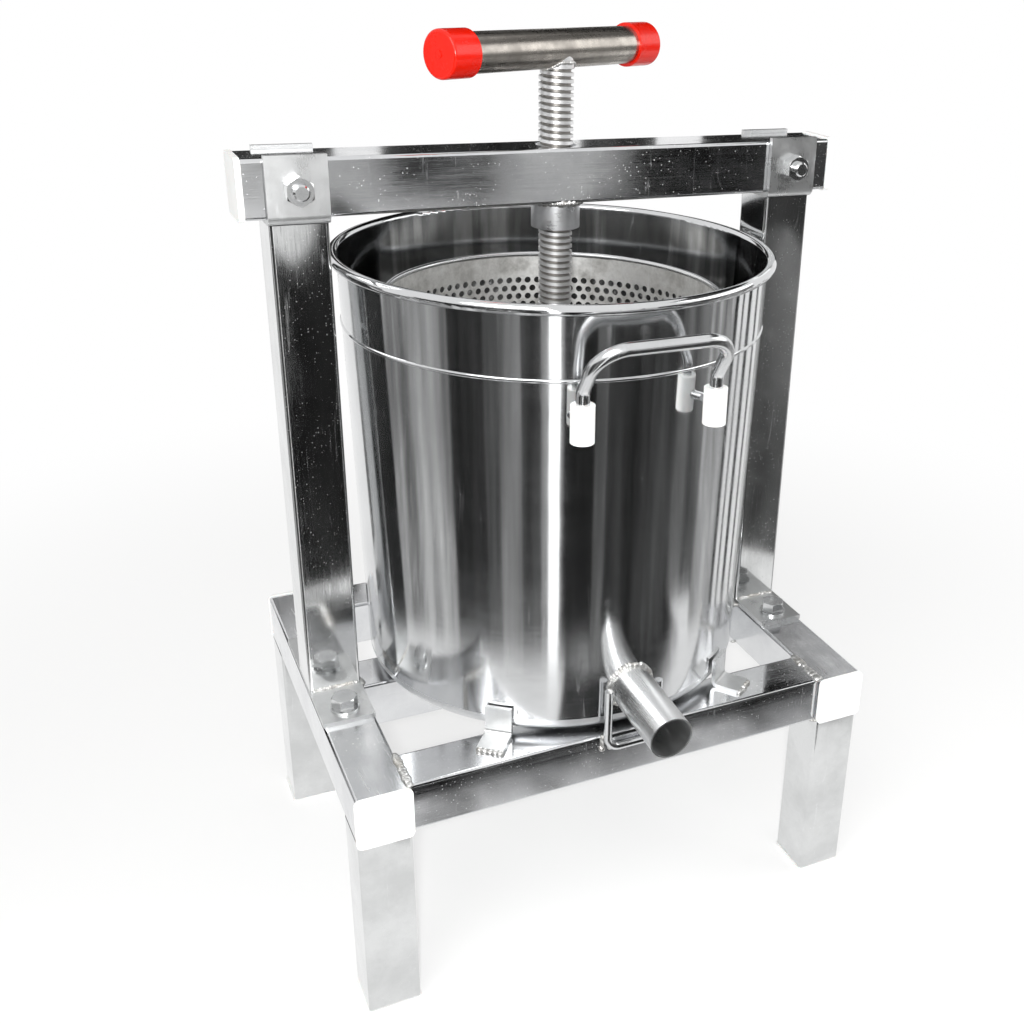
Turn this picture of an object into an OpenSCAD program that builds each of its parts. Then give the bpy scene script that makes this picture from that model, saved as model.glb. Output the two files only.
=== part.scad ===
// Manual fruit press with a screw, a beam frame, a juice tank and a perforated basket.
// Millimetres, +Z up, +X along the beam to the right, -Y to the front, where the spout is.
// The origin is on the floor, in the middle of the overall width and depth.
// Every module draws round the screw axis, and at_screw() moves it into place.

/* [Frame] */
// Outer side of every square tube
tube_side = 50; // [40:1:60]
// Wall of the square tube
tube_wall = 2; // [1.5:0.5:4]
// Rounding of the tube's long outer edges
tube_round = 3; // [1:0.5:5]
// Gap between the tank's rolled rim and each post
post_clear = 5.5; // [4:0.5:48]
// How far the side rails reach past the tank's foot at the front
front_past = 8; // [4:1:66]
// How far the side rails stop short of the tank's foot at the rear
rear_short = 4; // [-66:1:6]
// Floor to the underside of the rails
leg_h = 200; // [120:1:320]
// How far the front rail sits back from the rail ends
front_inset = 3; // [0:1:5]
// How far the rear rail sits in from the rail ends
rear_inset = 4; // [0:1:6]
// Centre line of the middle rail, along Y
middle_rail_y = -3; // [-30:1:30]

/* [Tube caps] */
// Thickness of a cap's outer lip
cap_lip = 3; // [2:0.5:6]
// How far the lip stands out past the tube on each side
cap_proud = 1.5; // [0.5:0.5:3]
// Length of the plug inside the tube
cap_plug = 14; // [8:1:20]
// Thickness of the plug's walls
cap_plug_wall = 2; // [1.5:0.5:3]
// Gap between plug and tube wall
cap_fit = 0.1; // [0.05:0.05:0.3]
// Rounding of the lip's corners
cap_corner = 6; // [3:0.5:9]
// Thickness of the beam caps' lip
beam_cap_lip = 5; // [3:0.5:8]

/* [Posts] */
// Thickness of a foot plate
foot_plate_t = 5; // [3:0.5:10]
// Length of a foot plate, along Y
foot_plate_l = 168; // [160:1:200]
// Post centre to a foot bolt, along Y
foot_bolt_y = 64; // [58:1:70]
// Thread size of every bolt
bolt_d = 14; // [12:1:16]
// Gap between a bolt and its hole
bolt_gap = 0.25; // [0.1:0.05:0.5]
// Width across flats of bolt heads and nuts
hex_af = 22; // [20:1:24]
// Height of a bolt head
head_h = 11; // [8:0.5:14]
// Height of a nut
nut_h = 11; // [8:0.5:14]
// Gap between the mating threads of a nut and its bolt
nut_thread_fit = 0.05; // [0.05:0.05:0.2]
// How far a bolt's end stands out of its nut
bolt_show = 6; // [3:0.5:12]
// Outer diameter of a washer
washer_d = 28; // [26:1:32]
// Thickness of a washer
washer_t = 2.5; // [1.5:0.5:4]

/* [Beam] */
// Gap between the tank's rolled rim and the beam
beam_clear = 44; // [28:1:140]
// How far the beam tube reaches past the posts, on each side
beam_over = 18.5; // [17.5:0.5:70]
// Thickness of the bent saddle plates
saddle_t = 5; // [3:0.5:8]
// Width of a saddle, along X
saddle_w = 52; // [46:1:60]
// How far the saddle's cheeks rise past the top of the beam
saddle_lip = 3.5; // [0:0.5:12]
// Gap between the beam and each cheek
saddle_fit = 0.3; // [0.1:0.1:1]
// Outer radius of the saddle's bends
saddle_bend = 8; // [6:0.5:12]
// Hole in the beam's top wall, round the screw
beam_hole_d = 38; // [36:0.5:44]

/* [Screw and nut] */
// Outer diameter of the screw's thread
screw_d = 32; // [28:1:36]
// Pitch of the screw's thread
screw_pitch = 6; // [5:0.5:8]
// Depth of the screw's thread
thread_depth = 3.2; // [2:0.1:3.5]
// Outer diameter of the round nut welded into the beam
nut_d = 46; // [45:0.5:49]
// How far the round nut hangs below the beam
nut_drop = 25; // [15:1:40]
// Gap between the round nut's bore and the screw
screw_fit = 0.08; // [0.05:0.01:0.1]
// Beam top to the centre of the cross handle, at rest
handle_rise = 84; // [82:1:120]
// Diameter of the plain end that turns in the press plate's hub
journal_d = 22; // [16:0.5:24]
// Gap between the plain end and the hub's bore
journal_fit = 0.08; // [0.05:0.01:0.1]

/* [Cross handle] */
// Length of the cross handle's tube
t_bar_l = 262; // [220:1:420]
// Outer diameter of the cross handle's tube
t_bar_d = 34; // [33:0.5:40]
// Wall of the cross handle's tube
t_bar_wall = 2.5; // [2:0.5:4]
// Angle of the cross handle about the screw, at rest
t_bar_angle = 25; // [0:1:90]
// How far the cross handle's middle stands off the screw, to the left
t_bar_off = 7; // [0:1:12]
// Wall of the dipped end caps
t_cap_wall = 3; // [2:0.5:5]
// Length of the end caps over the tube
t_cap_skirt = 27; // [20:1:60]
// Edge rounding of the end caps
t_cap_edge = 2.5; // [1:0.5:2.5]
// Diameter of the moulding nub on the cap's end
t_cap_nub_d = 7; // [5:1:10]
// Height of the moulding nub
t_cap_nub_h = 0.6; // [0.4:0.2:1.5]

/* [Tank] */
// Rounded edge of the floor to the middle of the rolled rim
tank_h = 416; // [380:1:430]
// Outer radius of the wall at the floor
tank_r_low = 194; // [170:0.5:220]
// How much the wall's radius grows from the floor to the rim
tank_taper = 10; // [4:0.5:14]
// Thickness of the tank's sheet
tank_wall = 2; // [1:0.5:3]
// Radius of the rolled rim
rim_r = 5; // [3:0.5:6]
// Outer radius of the rounded bottom edge
floor_corner = 10; // [5:0.5:12]
// Height of the floor dish's upturned edge
floor_flange = 13; // [13:1:25]
// How far the floor's flat middle hangs below the rounded edge
floor_drop = 5; // [3:0.5:8]
// Width of the slope round the floor's flat middle
floor_slope = 10; // [6:1:12]
// Width of the level edge between the slope and the rounded corner
floor_edge = 8; // [4:1:14]
// Height of the swaged ring above the tank's rounded edge
swage_h = 354; // [330:1:370]
// How far the swaged ring stands out of the wall
swage_r = 1.2; // [0.5:0.1:2]

/* [Spout] */
// Outer diameter of the spout
spout_d = 42; // [36:0.5:42]
// Wall of the spout
spout_wall = 1.5; // [1:0.5:3]
// Height of the spout's axis above the tank's rounded edge, at the wall
spout_h = 43; // [40:1:70]
// Tank's foot to the spout's mouth, along Y
spout_out = 87; // [60:1:146]
// Downward slope of the spout
spout_slope = 3; // [0:0.5:6]
// Diameter of the stirrup's rod
stirrup_d = 8; // [6:0.5:10]
// Gap between the spout and the stirrup's uprights
stirrup_gap = 1; // [0.5:0.5:4]
// Height of the stirrup above the rails
stirrup_up = 52; // [40:1:80]
// How far the stirrup hangs below the rails' top
stirrup_down = 16; // [12:1:30]
// Radius of the stirrup's bends, at the rod's centre
stirrup_bend = 12; // [8:1:16]

/* [Tank stops] */
// Thickness of the bent stops round the tank's foot
tab_t = 4; // [3:0.5:6]
// Width of a stop
tab_w = 26; // [20:1:34]
// Height of a stop's upright leg
tab_h = 31; // [20:1:45]
// Length of a stop's foot
tab_foot = 30; // [20:1:32]
// Gap between the tank's foot and a stop
tab_gap = 2; // [1:0.5:3]
// Outer radius of a stop's bend
tab_bend = 7; // [5:0.5:10]
// Angle of the front stops from the front of the tank
tab_front_angle = 37; // [30:1:40]
// Angle of the rear stops from the rear of the tank
tab_rear_angle = 40; // [38:1:44]

/* [Tank handles] */
// Diameter of the handle rod
grip_d = 12; // [10:0.5:14]
// Distance between the two legs of a handle
grip_span = 125; // [100:1:150]
// Height of the handle legs' lower ends above the tank's rounded edge
grip_h = 310; // [280:1:320]
// Length of the legs' upright part
grip_leg = 38; // [38:1:60]
// Radius of the outward bend
grip_bend = 14; // [10:1:20]
// Outward tilt of the bow
grip_tilt = 34; // [20:1:45]
// Length of the bow, from the bend to the middle of the crossbar
grip_bow = 46; // [35:1:60]
// Radius of the bow's corners
grip_corner = 28; // [18:1:34]
// Outer diameter of a sleeve
sleeve_d = 21; // [18:0.5:24]
// Length of a sleeve
sleeve_l = 33; // [25:1:39]
// Gap between a sleeve and its leg
sleeve_fit = 0.1; // [0.1:0.05:0.3]
// Gap between a sleeve and the tank
sleeve_gap = 1.3; // [1:0.1:4]
// Diameter of the welded studs behind the sleeves
grip_stud_d = 8; // [6:0.5:10]

/* [Basket] */
// Gap between the basket and the tank's wall, at the floor
basket_gap = 27; // [18:1:40]
// Height of the basket, from its floor to its rim
basket_h = 369; // [340:1:400]
// Thickness of the basket's sheet
basket_wall = 1.5; // [1:0.5:3]
// Radius of the basket's rim bead
basket_rim_r = 3; // [2:0.5:5]
// Height of the basket's feet
basket_foot_h = 10; // [6:1:20]
// Diameter of the basket's feet
basket_foot_d = 16; // [10:1:24]
// Gap between the basket's feet and the tank's floor
basket_foot_gap = 0.3; // [0.2:0.1:1]
// Diameter of the basket's holes
hole_d = 7; // [4:0.5:9]
// Rim to the first row of holes
hole_top = 31; // [24:1:60]
// Floor to the last row of holes
hole_low = 16; // [14:1:40]
// Rows of holes
hole_rows = 8; // [5:1:12]
// Holes in a row
hole_count = 20; // [12:1:30]

/* [Press plate] */
// Gap between the press plate and the basket's wall
plate_gap = 8.5; // [6.5:0.5:18]
// Thickness of the press plate
plate_t = 6; // [4:0.5:12]
// Gap left under the plate when it is all the way down
plate_low_gap = 10; // [5:1:30]
// Travel left below the rest position
travel_down = 60; // [20:1:64]
// Diameter of the hub on the plate
hub_d = 60; // [50:1:80]
// Height of the hub
hub_h = 36; // [34:1:60]
// Number of stiffening ribs
rib_count = 6; // [4:1:8]
// Thickness of a rib
rib_t = 5; // [3:0.5:8]
// Height of a rib at the hub
rib_h = 28; // [15:1:33]
// Height of a rib at its outer end
rib_end_h = 10; // [5:1:14]
// Length of a rib's level top beside the hub
rib_flat = 20; // [5:1:40]
// Gap between a rib's outer end and the plate's edge
rib_inset = 14; // [8:1:30]
// Diameter of the two pins that hold the screw in the hub
pin_d = 5; // [4:0.5:6]
// Gap between the pins and the screw's groove
pin_gap = 0.1; // [0.05:0.05:0.3]
// Height of the pins above the plate's underside
pin_h = 20; // [14:1:22]
// Thickness of the thrust washer
thrust_t = 3; // [2:0.5:5]
// Gap between the thrust washer and the screw's shoulder
thrust_gap = 0.1; // [0.05:0.05:0.3]

/* [Hidden] */
$fn = 96;
eps = 0.01;

// The screw axis stands this far behind the origin, because the spout reaches out in front
screw_y = 17;

// Levels, from the floor up
rail_z = leg_h;
rail_top = rail_z + tube_side;
tank_z = rail_top + floor_drop;
rim_z = tank_z + tank_h;
beam_z = rim_z + rim_r + beam_clear;
post_z = rail_top + foot_plate_t;
post_top = beam_z - saddle_t;
post_h = post_top - post_z;
beam_mid = beam_z + tube_side / 2;
beam_top = beam_z + tube_side;
t_bar_z = beam_top + handle_rise;

// Frame plan, round the tank
tank_r_top = tank_r_low + tank_taper;
rim_reach = tank_r_top + 2 * rim_r - tank_wall;
post_gap = 2 * (rim_reach + post_clear);
frame_front = tank_r_low + front_past;
frame_rear = tank_r_low - rear_short;
side_x = (post_gap + tube_side) / 2;
rail_l = frame_front + frame_rear;
rail_mid_y = (frame_rear - frame_front) / 2;
front_rail_y = -frame_front + front_inset + tube_side / 2;
rear_rail_y = frame_rear - rear_inset - tube_side / 2;
front_face_y = front_rail_y - tube_side / 2;
leg_ys = [-frame_front + tube_side / 2, frame_rear - tube_side / 2];
inner_side = tube_side - 2 * tube_wall;

// Beam
beam_l = post_gap + 2 * (tube_side + beam_over);

// Tank
tank_in_z = rail_top + tank_wall;
shell_z = tank_z + floor_flange;
floor_flat_r = tank_r_low - floor_corner - floor_edge - floor_slope;
grip_z = tank_z + grip_h;
sleeve_z = grip_z - 2;
stud_z = sleeve_z + sleeve_l / 2;
bend_swell = 0.12;
bend_overlap = 1;
grip_y = tank_r(stud_z) + sleeve_gap + sleeve_d / 2;

// Basket and press plate
basket_r = tank_r_low - tank_wall - basket_gap;
plate_d = 2 * (basket_r - basket_wall - plate_gap);
basket_z = tank_in_z + basket_foot_gap + basket_foot_h;
basket_in_z = basket_z + basket_wall;
basket_top = basket_z + basket_h;
plate_z = basket_in_z + plate_low_gap + travel_down;
plate_top = plate_z + plate_t;
hub_top = plate_top + hub_h;
shoulder_z = hub_top + thrust_t + thrust_gap;
groove_z = plate_z + pin_h;

// Nut and saddle
nut_z = beam_z - nut_drop;
nut_top = beam_top - tube_wall;
saddle_in = tube_side + 2 * saddle_fit;
saddle_out = saddle_in + 2 * saddle_t;
bolt_hole_d = bolt_d + 2 * bolt_gap;
cheek_h = saddle_t + tube_side + saddle_lip;

// Spout
spout_in_d = spout_d - 2 * spout_wall;
spout_root_z = tank_z + spout_h;
spout_reach = tank_r_low + spout_out;
stirrup_x = spout_d / 2 + stirrup_gap + stirrup_d / 2;
stirrup_y = front_face_y - stirrup_d / 2;

steel = [0.72, 0.73, 0.74];
bright = [0.82, 0.83, 0.84];
white = [0.95, 0.95, 0.94];
red = [0.86, 0.1, 0.05];
bronze = [0.72, 0.53, 0.25];

// Outer radius of the tank's wall at a height
function tank_r(z) = tank_r_low + tank_taper * (z - tank_z) / tank_h;

// Places of the parts that come in pairs or fours
function corner_places() = [for (sx = [-1, 1], y = leg_ys) [sx * side_x, y]];
function foot_bolt_places() = [for (sx = [-1, 1], sy = [-1, 1]) [sx * side_x, sy * foot_bolt_y]];

// Moves its children from the screw axis to the part's own frame
module at_screw() { translate([0, screw_y, 0]) children(); }

// Square with rounded corners, centred
module round_square(side, radius) {
    reach = side / 2 - radius;
    union() {
        square([side, side - 2 * radius], center = true);
        square([side - 2 * radius, side], center = true);
        for (sx = [-1, 1], sy = [-1, 1]) translate([sx * reach, sy * reach]) circle(r = radius);
    }
}

// Square tube along Z, standing on Z = 0
module square_tube(length) {
    inner_round = max(tube_round - tube_wall, 0.5);
    linear_extrude(length) difference() {
        round_square(tube_side, tube_round);
        round_square(inner_side, inner_round);
    }
}

// The same tube along X, centred
module tube_along_x(length) {
    translate([-length / 2, 0, 0]) rotate([90, 0, 90]) square_tube(length);
}

// The same tube along Y, centred
module tube_along_y(length) {
    translate([0, length / 2, 0]) rotate([90, 0, 0]) square_tube(length);
}

// Push-in tube cap: the lip is on +Z, the hollow plug goes down into the tube
module tube_cap(lip) {
    plug = inner_side - 2 * cap_fit;
    linear_extrude(lip) round_square(tube_side + 2 * cap_proud, cap_corner);
    translate([0, 0, -cap_plug]) linear_extrude(cap_plug + eps) difference() {
        round_square(plug, 1);
        round_square(plug - 2 * cap_plug_wall, 1);
    }
}

// Hexagon prism with its corners turned off at both ends
module hex_body(height) {
    chamfer = hex_af * 0.06;
    corner = hex_af / cos(30) / 2;
    intersection() {
        cylinder(h = height, r = corner, $fn = 6);
        rotate_extrude() polygon([
            [0, 0], [corner - chamfer, 0], [corner, chamfer / 1.7],
            [corner, height - chamfer / 1.7], [corner - chamfer, height], [0, height]
        ]);
    }
}

// Hexagon bolt: head on Z = 0 upwards, shank downwards
module hex_bolt(length) {
    tip = 1.5;
    union() {
        hex_body(head_h);
        rotate_extrude() polygon([
            [0, eps], [bolt_d / 2, eps], [bolt_d / 2, tip - length],
            [bolt_d / 2 - tip, -length], [0, -length]
        ]);
    }
}

// Hexagon nut, from Z = 0 upwards
module hex_nut() {
    difference() {
        hex_body(nut_h);
        translate([0, 0, -1]) cylinder(h = nut_h + 2, d = bolt_d + 2 * nut_thread_fit);
    }
}

module foot_holes(z, height) {
    for (p = foot_bolt_places()) translate([p[0], p[1], z]) cylinder(h = height, d = bolt_hole_d);
}

module side_rail(side) {
    color(steel) at_screw() difference() {
        translate([side * side_x, rail_mid_y, rail_z + tube_side / 2]) tube_along_y(rail_l);
        foot_holes(rail_z - 1, tube_side + 2);
    }
}

module left_rail() { side_rail(-1); }

module right_rail() { side_rail(1); }

module cross_rail(y) {
    color(steel) at_screw() translate([0, y, rail_z + tube_side / 2]) tube_along_x(post_gap);
}

module front_rail() { cross_rail(front_rail_y); }

module rear_rail() { cross_rail(rear_rail_y); }

module middle_rail() { cross_rail(middle_rail_y); }

module leg(place) {
    color(steel) at_screw() translate([place[0], place[1], cap_lip]) square_tube(leg_h - cap_lip);
}

module front_left_leg() { leg(corner_places()[0]); }

module rear_left_leg() { leg(corner_places()[1]); }

module front_right_leg() { leg(corner_places()[2]); }

module rear_right_leg() { leg(corner_places()[3]); }

module rail_caps() {
    cap_z = rail_z + tube_side / 2;
    color(white) at_screw() for (sx = [-1, 1]) {
        translate([sx * side_x, -frame_front, cap_z]) rotate([90, 0, 0]) tube_cap(cap_lip);
        translate([sx * side_x, frame_rear, cap_z]) rotate([-90, 0, 0]) tube_cap(cap_lip);
    }
}

module foot_caps() {
    color(white) at_screw() for (p = corner_places())
        translate([p[0], p[1], cap_lip]) rotate([180, 0, 0]) tube_cap(cap_lip);
}

module post(side) {
    color(steel) at_screw() translate([side * side_x, 0, post_z]) square_tube(post_h);
}

module left_post() { post(-1); }

module right_post() { post(1); }

module foot_plate(side) {
    color(steel) at_screw() difference() {
        translate([side * side_x, 0, rail_top + foot_plate_t / 2])
            cube([tube_side, foot_plate_l, foot_plate_t], center = true);
        foot_holes(rail_top - 1, foot_plate_t + 2);
    }
}

module left_foot_plate() { foot_plate(-1); }

module right_foot_plate() { foot_plate(1); }

module foot_bolts() {
    grip = washer_t + foot_plate_t + tube_side + nut_h;
    color(bright) at_screw() for (p = foot_bolt_places())
        translate([p[0], p[1], post_z + washer_t]) hex_bolt(grip + bolt_show);
}

module foot_washers() {
    color(bright) at_screw() for (p = foot_bolt_places())
        translate([p[0], p[1], post_z]) difference() {
            cylinder(h = washer_t, d = washer_d);
            translate([0, 0, -1]) cylinder(h = washer_t + 2, d = bolt_hole_d);
        }
}

module foot_nuts() {
    color(bright) at_screw() for (p = foot_bolt_places())
        translate([p[0], p[1], rail_z - nut_h]) hex_nut();
}

// Bent plate with two cheeks, open at the top, seen along X
module saddle_outline() {
    inner_bend = saddle_bend - saddle_t;
    difference() {
        union() {
            translate([-saddle_out / 2, saddle_bend]) square([saddle_out, cheek_h - saddle_bend]);
            translate([-saddle_out / 2 + saddle_bend, 0])
                square([saddle_out - 2 * saddle_bend, saddle_bend + eps]);
            for (s = [-1, 1]) translate([s * (saddle_out / 2 - saddle_bend), saddle_bend])
                circle(r = saddle_bend);
        }
        translate([-saddle_in / 2, saddle_t + inner_bend])
            square([saddle_in, cheek_h]);
        translate([-saddle_in / 2 + inner_bend, saddle_t])
            square([saddle_in - 2 * inner_bend, inner_bend + eps]);
        for (s = [-1, 1]) translate([s * (saddle_in / 2 - inner_bend), saddle_t + inner_bend])
            circle(r = inner_bend);
    }
}

module beam_bolt_holes() {
    for (sx = [-1, 1]) translate([sx * side_x, saddle_out, beam_mid])
        rotate([90, 0, 0]) cylinder(h = 2 * saddle_out, d = bolt_hole_d);
}

module saddle(side) {
    color(steel) at_screw() difference() {
        translate([side * side_x - saddle_w / 2, 0, post_top])
            rotate([90, 0, 90]) linear_extrude(saddle_w) saddle_outline();
        beam_bolt_holes();
    }
}

module left_saddle() { saddle(-1); }

module right_saddle() { saddle(1); }

module beam() {
    color(steel) at_screw() difference() {
        translate([0, 0, beam_mid]) tube_along_x(beam_l);
        beam_bolt_holes();
        translate([0, 0, beam_mid]) cylinder(h = tube_side, d = beam_hole_d);
        translate([0, 0, beam_z - 1]) cylinder(h = tube_side / 2, d = nut_d);
    }
}

module beam_caps() {
    color(white) at_screw() for (sx = [-1, 1])
        translate([sx * beam_l / 2, 0, beam_mid]) rotate([0, sx * 90, 0]) tube_cap(beam_cap_lip);
}

module beam_bolts() {
    color(bright) at_screw() for (sx = [-1, 1])
        translate([sx * side_x, saddle_out / 2, beam_mid])
            rotate([-90, 0, 0]) rotate([0, 0, 30]) hex_bolt(saddle_out + nut_h + bolt_show);
}

module beam_nuts() {
    color(bright) at_screw() for (sx = [-1, 1])
        translate([sx * side_x, -saddle_out / 2, beam_mid])
            rotate([90, 0, 0]) rotate([0, 0, 30]) hex_nut();
}

module screw_nut() {
    color(steel) at_screw() translate([0, 0, nut_z]) difference() {
        cylinder(h = nut_top - nut_z, d = nut_d);
        translate([0, 0, -1]) cylinder(h = nut_top - nut_z + 2, d = screw_d + 2 * screw_fit);
    }
}

// Bent stop: upright leg at x = 0..tab_t, foot outwards along +X
module stop_outline() {
    inner_bend = tab_bend - tab_t;
    difference() {
        union() {
            translate([0, tab_bend]) square([tab_t, tab_h - tab_bend]);
            translate([tab_bend, 0]) square([tab_foot - tab_bend, tab_t]);
            intersection() {
                translate([tab_bend, tab_bend]) circle(r = tab_bend);
                square(tab_bend + eps);
            }
        }
        translate([tab_bend, tab_bend]) circle(r = inner_bend);
    }
}

module tank_stop(angle) {
    rotate([0, 0, angle]) translate([tank_r_low + tab_gap, tab_w / 2, rail_top])
        rotate([90, 0, 0]) linear_extrude(tab_w) stop_outline();
}

module tank_stops() {
    color(steel) at_screw() for (s = [-1, 1]) {
        tank_stop(-90 + s * tab_front_angle);
        tank_stop(90 + s * tab_rear_angle);
    }
}

// Quarter bend of a rod in the XZ plane, from +X round to +Z
module rod_corner(bend, diameter) {
    rotate([90, 0, 0]) rotate_extrude(angle = 90) translate([bend, 0]) circle(d = diameter);
}

module spout_stirrup() {
    bend_x = stirrup_x - stirrup_bend;
    low_z = rail_top - stirrup_down + stirrup_d / 2;
    bend_z = low_z + stirrup_bend;
    color(bright) at_screw() translate([0, stirrup_y, 0]) {
        for (s = [0, 1]) mirror([s, 0, 0]) {
            translate([stirrup_x, 0, bend_z])
                cylinder(h = rail_top + stirrup_up - bend_z, d = stirrup_d);
            translate([bend_x, 0, bend_z]) mirror([0, 0, 1]) rod_corner(stirrup_bend, stirrup_d);
        }
        translate([-bend_x, 0, low_z]) rotate([0, 90, 0]) cylinder(h = 2 * bend_x, d = stirrup_d);
    }
}

// Runs along the spout's axis, from inside the wall out past the mouth
module spout_rod(diameter, extra) {
    start_y = -tank_r(spout_root_z) + 30;
    length = (spout_reach + start_y) / cos(spout_slope) + extra;
    drop = (start_y + tank_r(spout_root_z)) * tan(spout_slope);
    translate([0, start_y, spout_root_z + drop])
        rotate([90 + spout_slope, 0, 0]) cylinder(h = length, d = diameter);
}

// The tank's outer form as a solid cone
module tank_cone() {
    rotate_extrude() polygon([
        [0, tank_z], [tank_r(tank_z), tank_z], [tank_r(rim_z), rim_z], [0, rim_z]
    ]);
}

module tank_shell() {
    swage_z = tank_z + swage_h;
    color(bright) at_screw() difference() {
        union() {
            rotate_extrude() polygon([
                [tank_r(shell_z) - tank_wall, shell_z], [tank_r(shell_z), shell_z],
                [tank_r(rim_z), rim_z], [tank_r(rim_z) - tank_wall, rim_z]
            ]);
            rotate_extrude() translate([tank_r(swage_z) - tank_wall / 2, swage_z])
                circle(r = swage_r + tank_wall / 2);
        }
        spout_rod(spout_in_d, 0);
    }
}

// Bead rolled round the tank's top edge
module tank_rim() {
    top_r = tank_r(rim_z);
    color(bright) at_screw() difference() {
        rotate_extrude() translate([top_r + rim_r - tank_wall, rim_z]) circle(r = rim_r);
        rotate_extrude() polygon([
            [0, rim_z - 2 * rim_r], [tank_r(rim_z - 2 * rim_r), rim_z - 2 * rim_r],
            [top_r, rim_z], [0, rim_z]
        ]);
    }
}

module tank_floor() {
    lip_r = tank_r(shell_z);
    foot_r = tank_r(tank_z);
    slope_r = floor_flat_r + floor_slope;
    inner_corner = floor_corner - tank_wall;
    color(bright) at_screw() rotate_extrude() difference() {
        union() {
            polygon([
                [0, rail_top], [floor_flat_r, rail_top], [slope_r, tank_z],
                [foot_r - floor_corner, tank_z], [foot_r, tank_z + floor_corner],
                [lip_r, shell_z], [0, shell_z]
            ]);
            intersection() {
                translate([foot_r - floor_corner, tank_z + floor_corner]) circle(r = floor_corner);
                translate([0, tank_z]) square([foot_r, floor_corner]);
            }
        }
        polygon([
            [-1, tank_in_z], [floor_flat_r, tank_in_z], [slope_r, tank_z + tank_wall],
            [foot_r - floor_corner, tank_z + tank_wall],
            [foot_r - tank_wall, tank_z + floor_corner],
            [lip_r - tank_wall, shell_z + eps], [-1, shell_z + eps]
        ]);
        translate([foot_r - floor_corner, tank_z + floor_corner]) circle(r = inner_corner);
    }
}

module spout() {
    color(bright) at_screw() difference() {
        spout_rod(spout_d, 0);
        spout_rod(spout_in_d, 5);
        tank_cone();
    }
}

// Handle on the front of the tank: two upright legs and a bow tilted outwards
module tank_handle() {
    half = grip_span / 2;
    straight = grip_bow - grip_corner;
    bend_z = grip_z + grip_leg;
    bow_y = -grip_y - grip_bend * (1 - cos(grip_tilt));
    bow_z = bend_z + grip_bend * sin(grip_tilt);
    for (s = [0, 1]) mirror([s, 0, 0]) {
        translate([half, -grip_y, grip_z]) cylinder(h = grip_leg, d = grip_d);
        translate([half, -grip_y - grip_bend, bend_z]) rotate([90, 0, 90])
            rotate_extrude(angle = grip_tilt) translate([grip_bend, 0]) circle(d = grip_d + bend_swell);
    }
    translate([0, bow_y, bow_z]) rotate([grip_tilt, 0, 0]) {
        for (s = [0, 1]) mirror([s, 0, 0]) {
            translate([half, 0, -bend_overlap]) cylinder(h = straight + bend_overlap, d = grip_d);
            translate([half - grip_corner, 0, straight]) rod_corner(grip_corner, grip_d);
        }
        translate([grip_corner - half, 0, grip_bow])
            rotate([0, 90, 0]) cylinder(h = grip_span - 2 * grip_corner, d = grip_d);
    }
}

module front_handle() { color(bright) at_screw() tank_handle(); }

module rear_handle() { color(bright) at_screw() mirror([0, 1, 0]) tank_handle(); }

// Stud that joins a handle leg to the tank's wall, through the sleeve
module handle_stud_rod(diameter) {
    translate([grip_span / 2, -grip_y, stud_z]) rotate([-90, 0, 0]) cylinder(h = grip_y, d = diameter);
}

// Repeats what is drawn for the front right leg at all four handle legs
module on_four_legs() {
    for (sx = [0, 1], sy = [0, 1]) mirror([sx, 0, 0]) mirror([0, sy, 0]) children();
}

module handle_sleeves() {
    color(white) at_screw() on_four_legs() difference() {
        translate([grip_span / 2, -grip_y, sleeve_z]) difference() {
            cylinder(h = sleeve_l, d = sleeve_d);
            translate([0, 0, -1]) cylinder(h = sleeve_l + 2, d = grip_d + 2 * sleeve_fit);
        }
        handle_stud_rod(grip_stud_d + 2 * sleeve_fit);
    }
}

module handle_studs() {
    color(bright) at_screw() on_four_legs() difference() {
        handle_stud_rod(grip_stud_d);
        translate([grip_span / 2, -grip_y, grip_z - 1]) cylinder(h = grip_leg, d = grip_d);
        tank_cone();
    }
}

// Rows of holes round the basket, each row half a step on from the last
module basket_holes() {
    first_z = basket_top - hole_top;
    last_z = basket_z + hole_low;
    step_z = (first_z - last_z) / (hole_rows - 1);
    step_a = 360 / hole_count;
    for (row = [0 : hole_rows - 1], i = [0 : hole_count - 1])
        rotate([0, 0, step_a * (i + (row % 2) / 2)]) translate([basket_r - 5, 0, last_z + row * step_z])
            rotate([0, 90, 0]) cylinder(h = 10, d = hole_d, $fn = 24);
}

module basket_shell() {
    color(bright) at_screw() difference() {
        translate([0, 0, basket_in_z]) difference() {
            cylinder(h = basket_top - basket_rim_r - basket_in_z, r = basket_r);
            translate([0, 0, -1]) cylinder(h = basket_h, r = basket_r - basket_wall);
        }
        basket_holes();
    }
}

module basket_rim() {
    rim_mid = basket_r - basket_wall / 2;
    color(bright) at_screw() translate([0, 0, basket_top - basket_rim_r]) difference() {
        rotate_extrude() translate([rim_mid, 0]) circle(r = basket_rim_r);
        translate([0, 0, -basket_rim_r - 1]) difference() {
            cylinder(h = basket_rim_r + 1, r = basket_r);
            cylinder(h = basket_rim_r + 1, r = basket_r - basket_wall);
        }
    }
}

// Sieve floor with rings of holes
module basket_floor() {
    rings = 4;
    ring_step = (basket_r - 20) / rings;
    color(bright) at_screw() translate([0, 0, basket_z]) difference() {
        cylinder(h = basket_wall, r = basket_r);
        for (ring = [1 : rings], i = [0 : 6 * ring - 1])
            rotate([0, 0, i * 60 / ring]) translate([ring * ring_step, 0, -1])
                cylinder(h = basket_wall + 2, d = hole_d, $fn = 24);
    }
}

module basket_feet() {
    foot_r = basket_r - 25;
    color(bright) at_screw() for (a = [45 : 90 : 315])
        rotate([0, 0, a]) translate([foot_r, 0, basket_z - basket_foot_h])
            cylinder(h = basket_foot_h, d = basket_foot_d);
}

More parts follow.
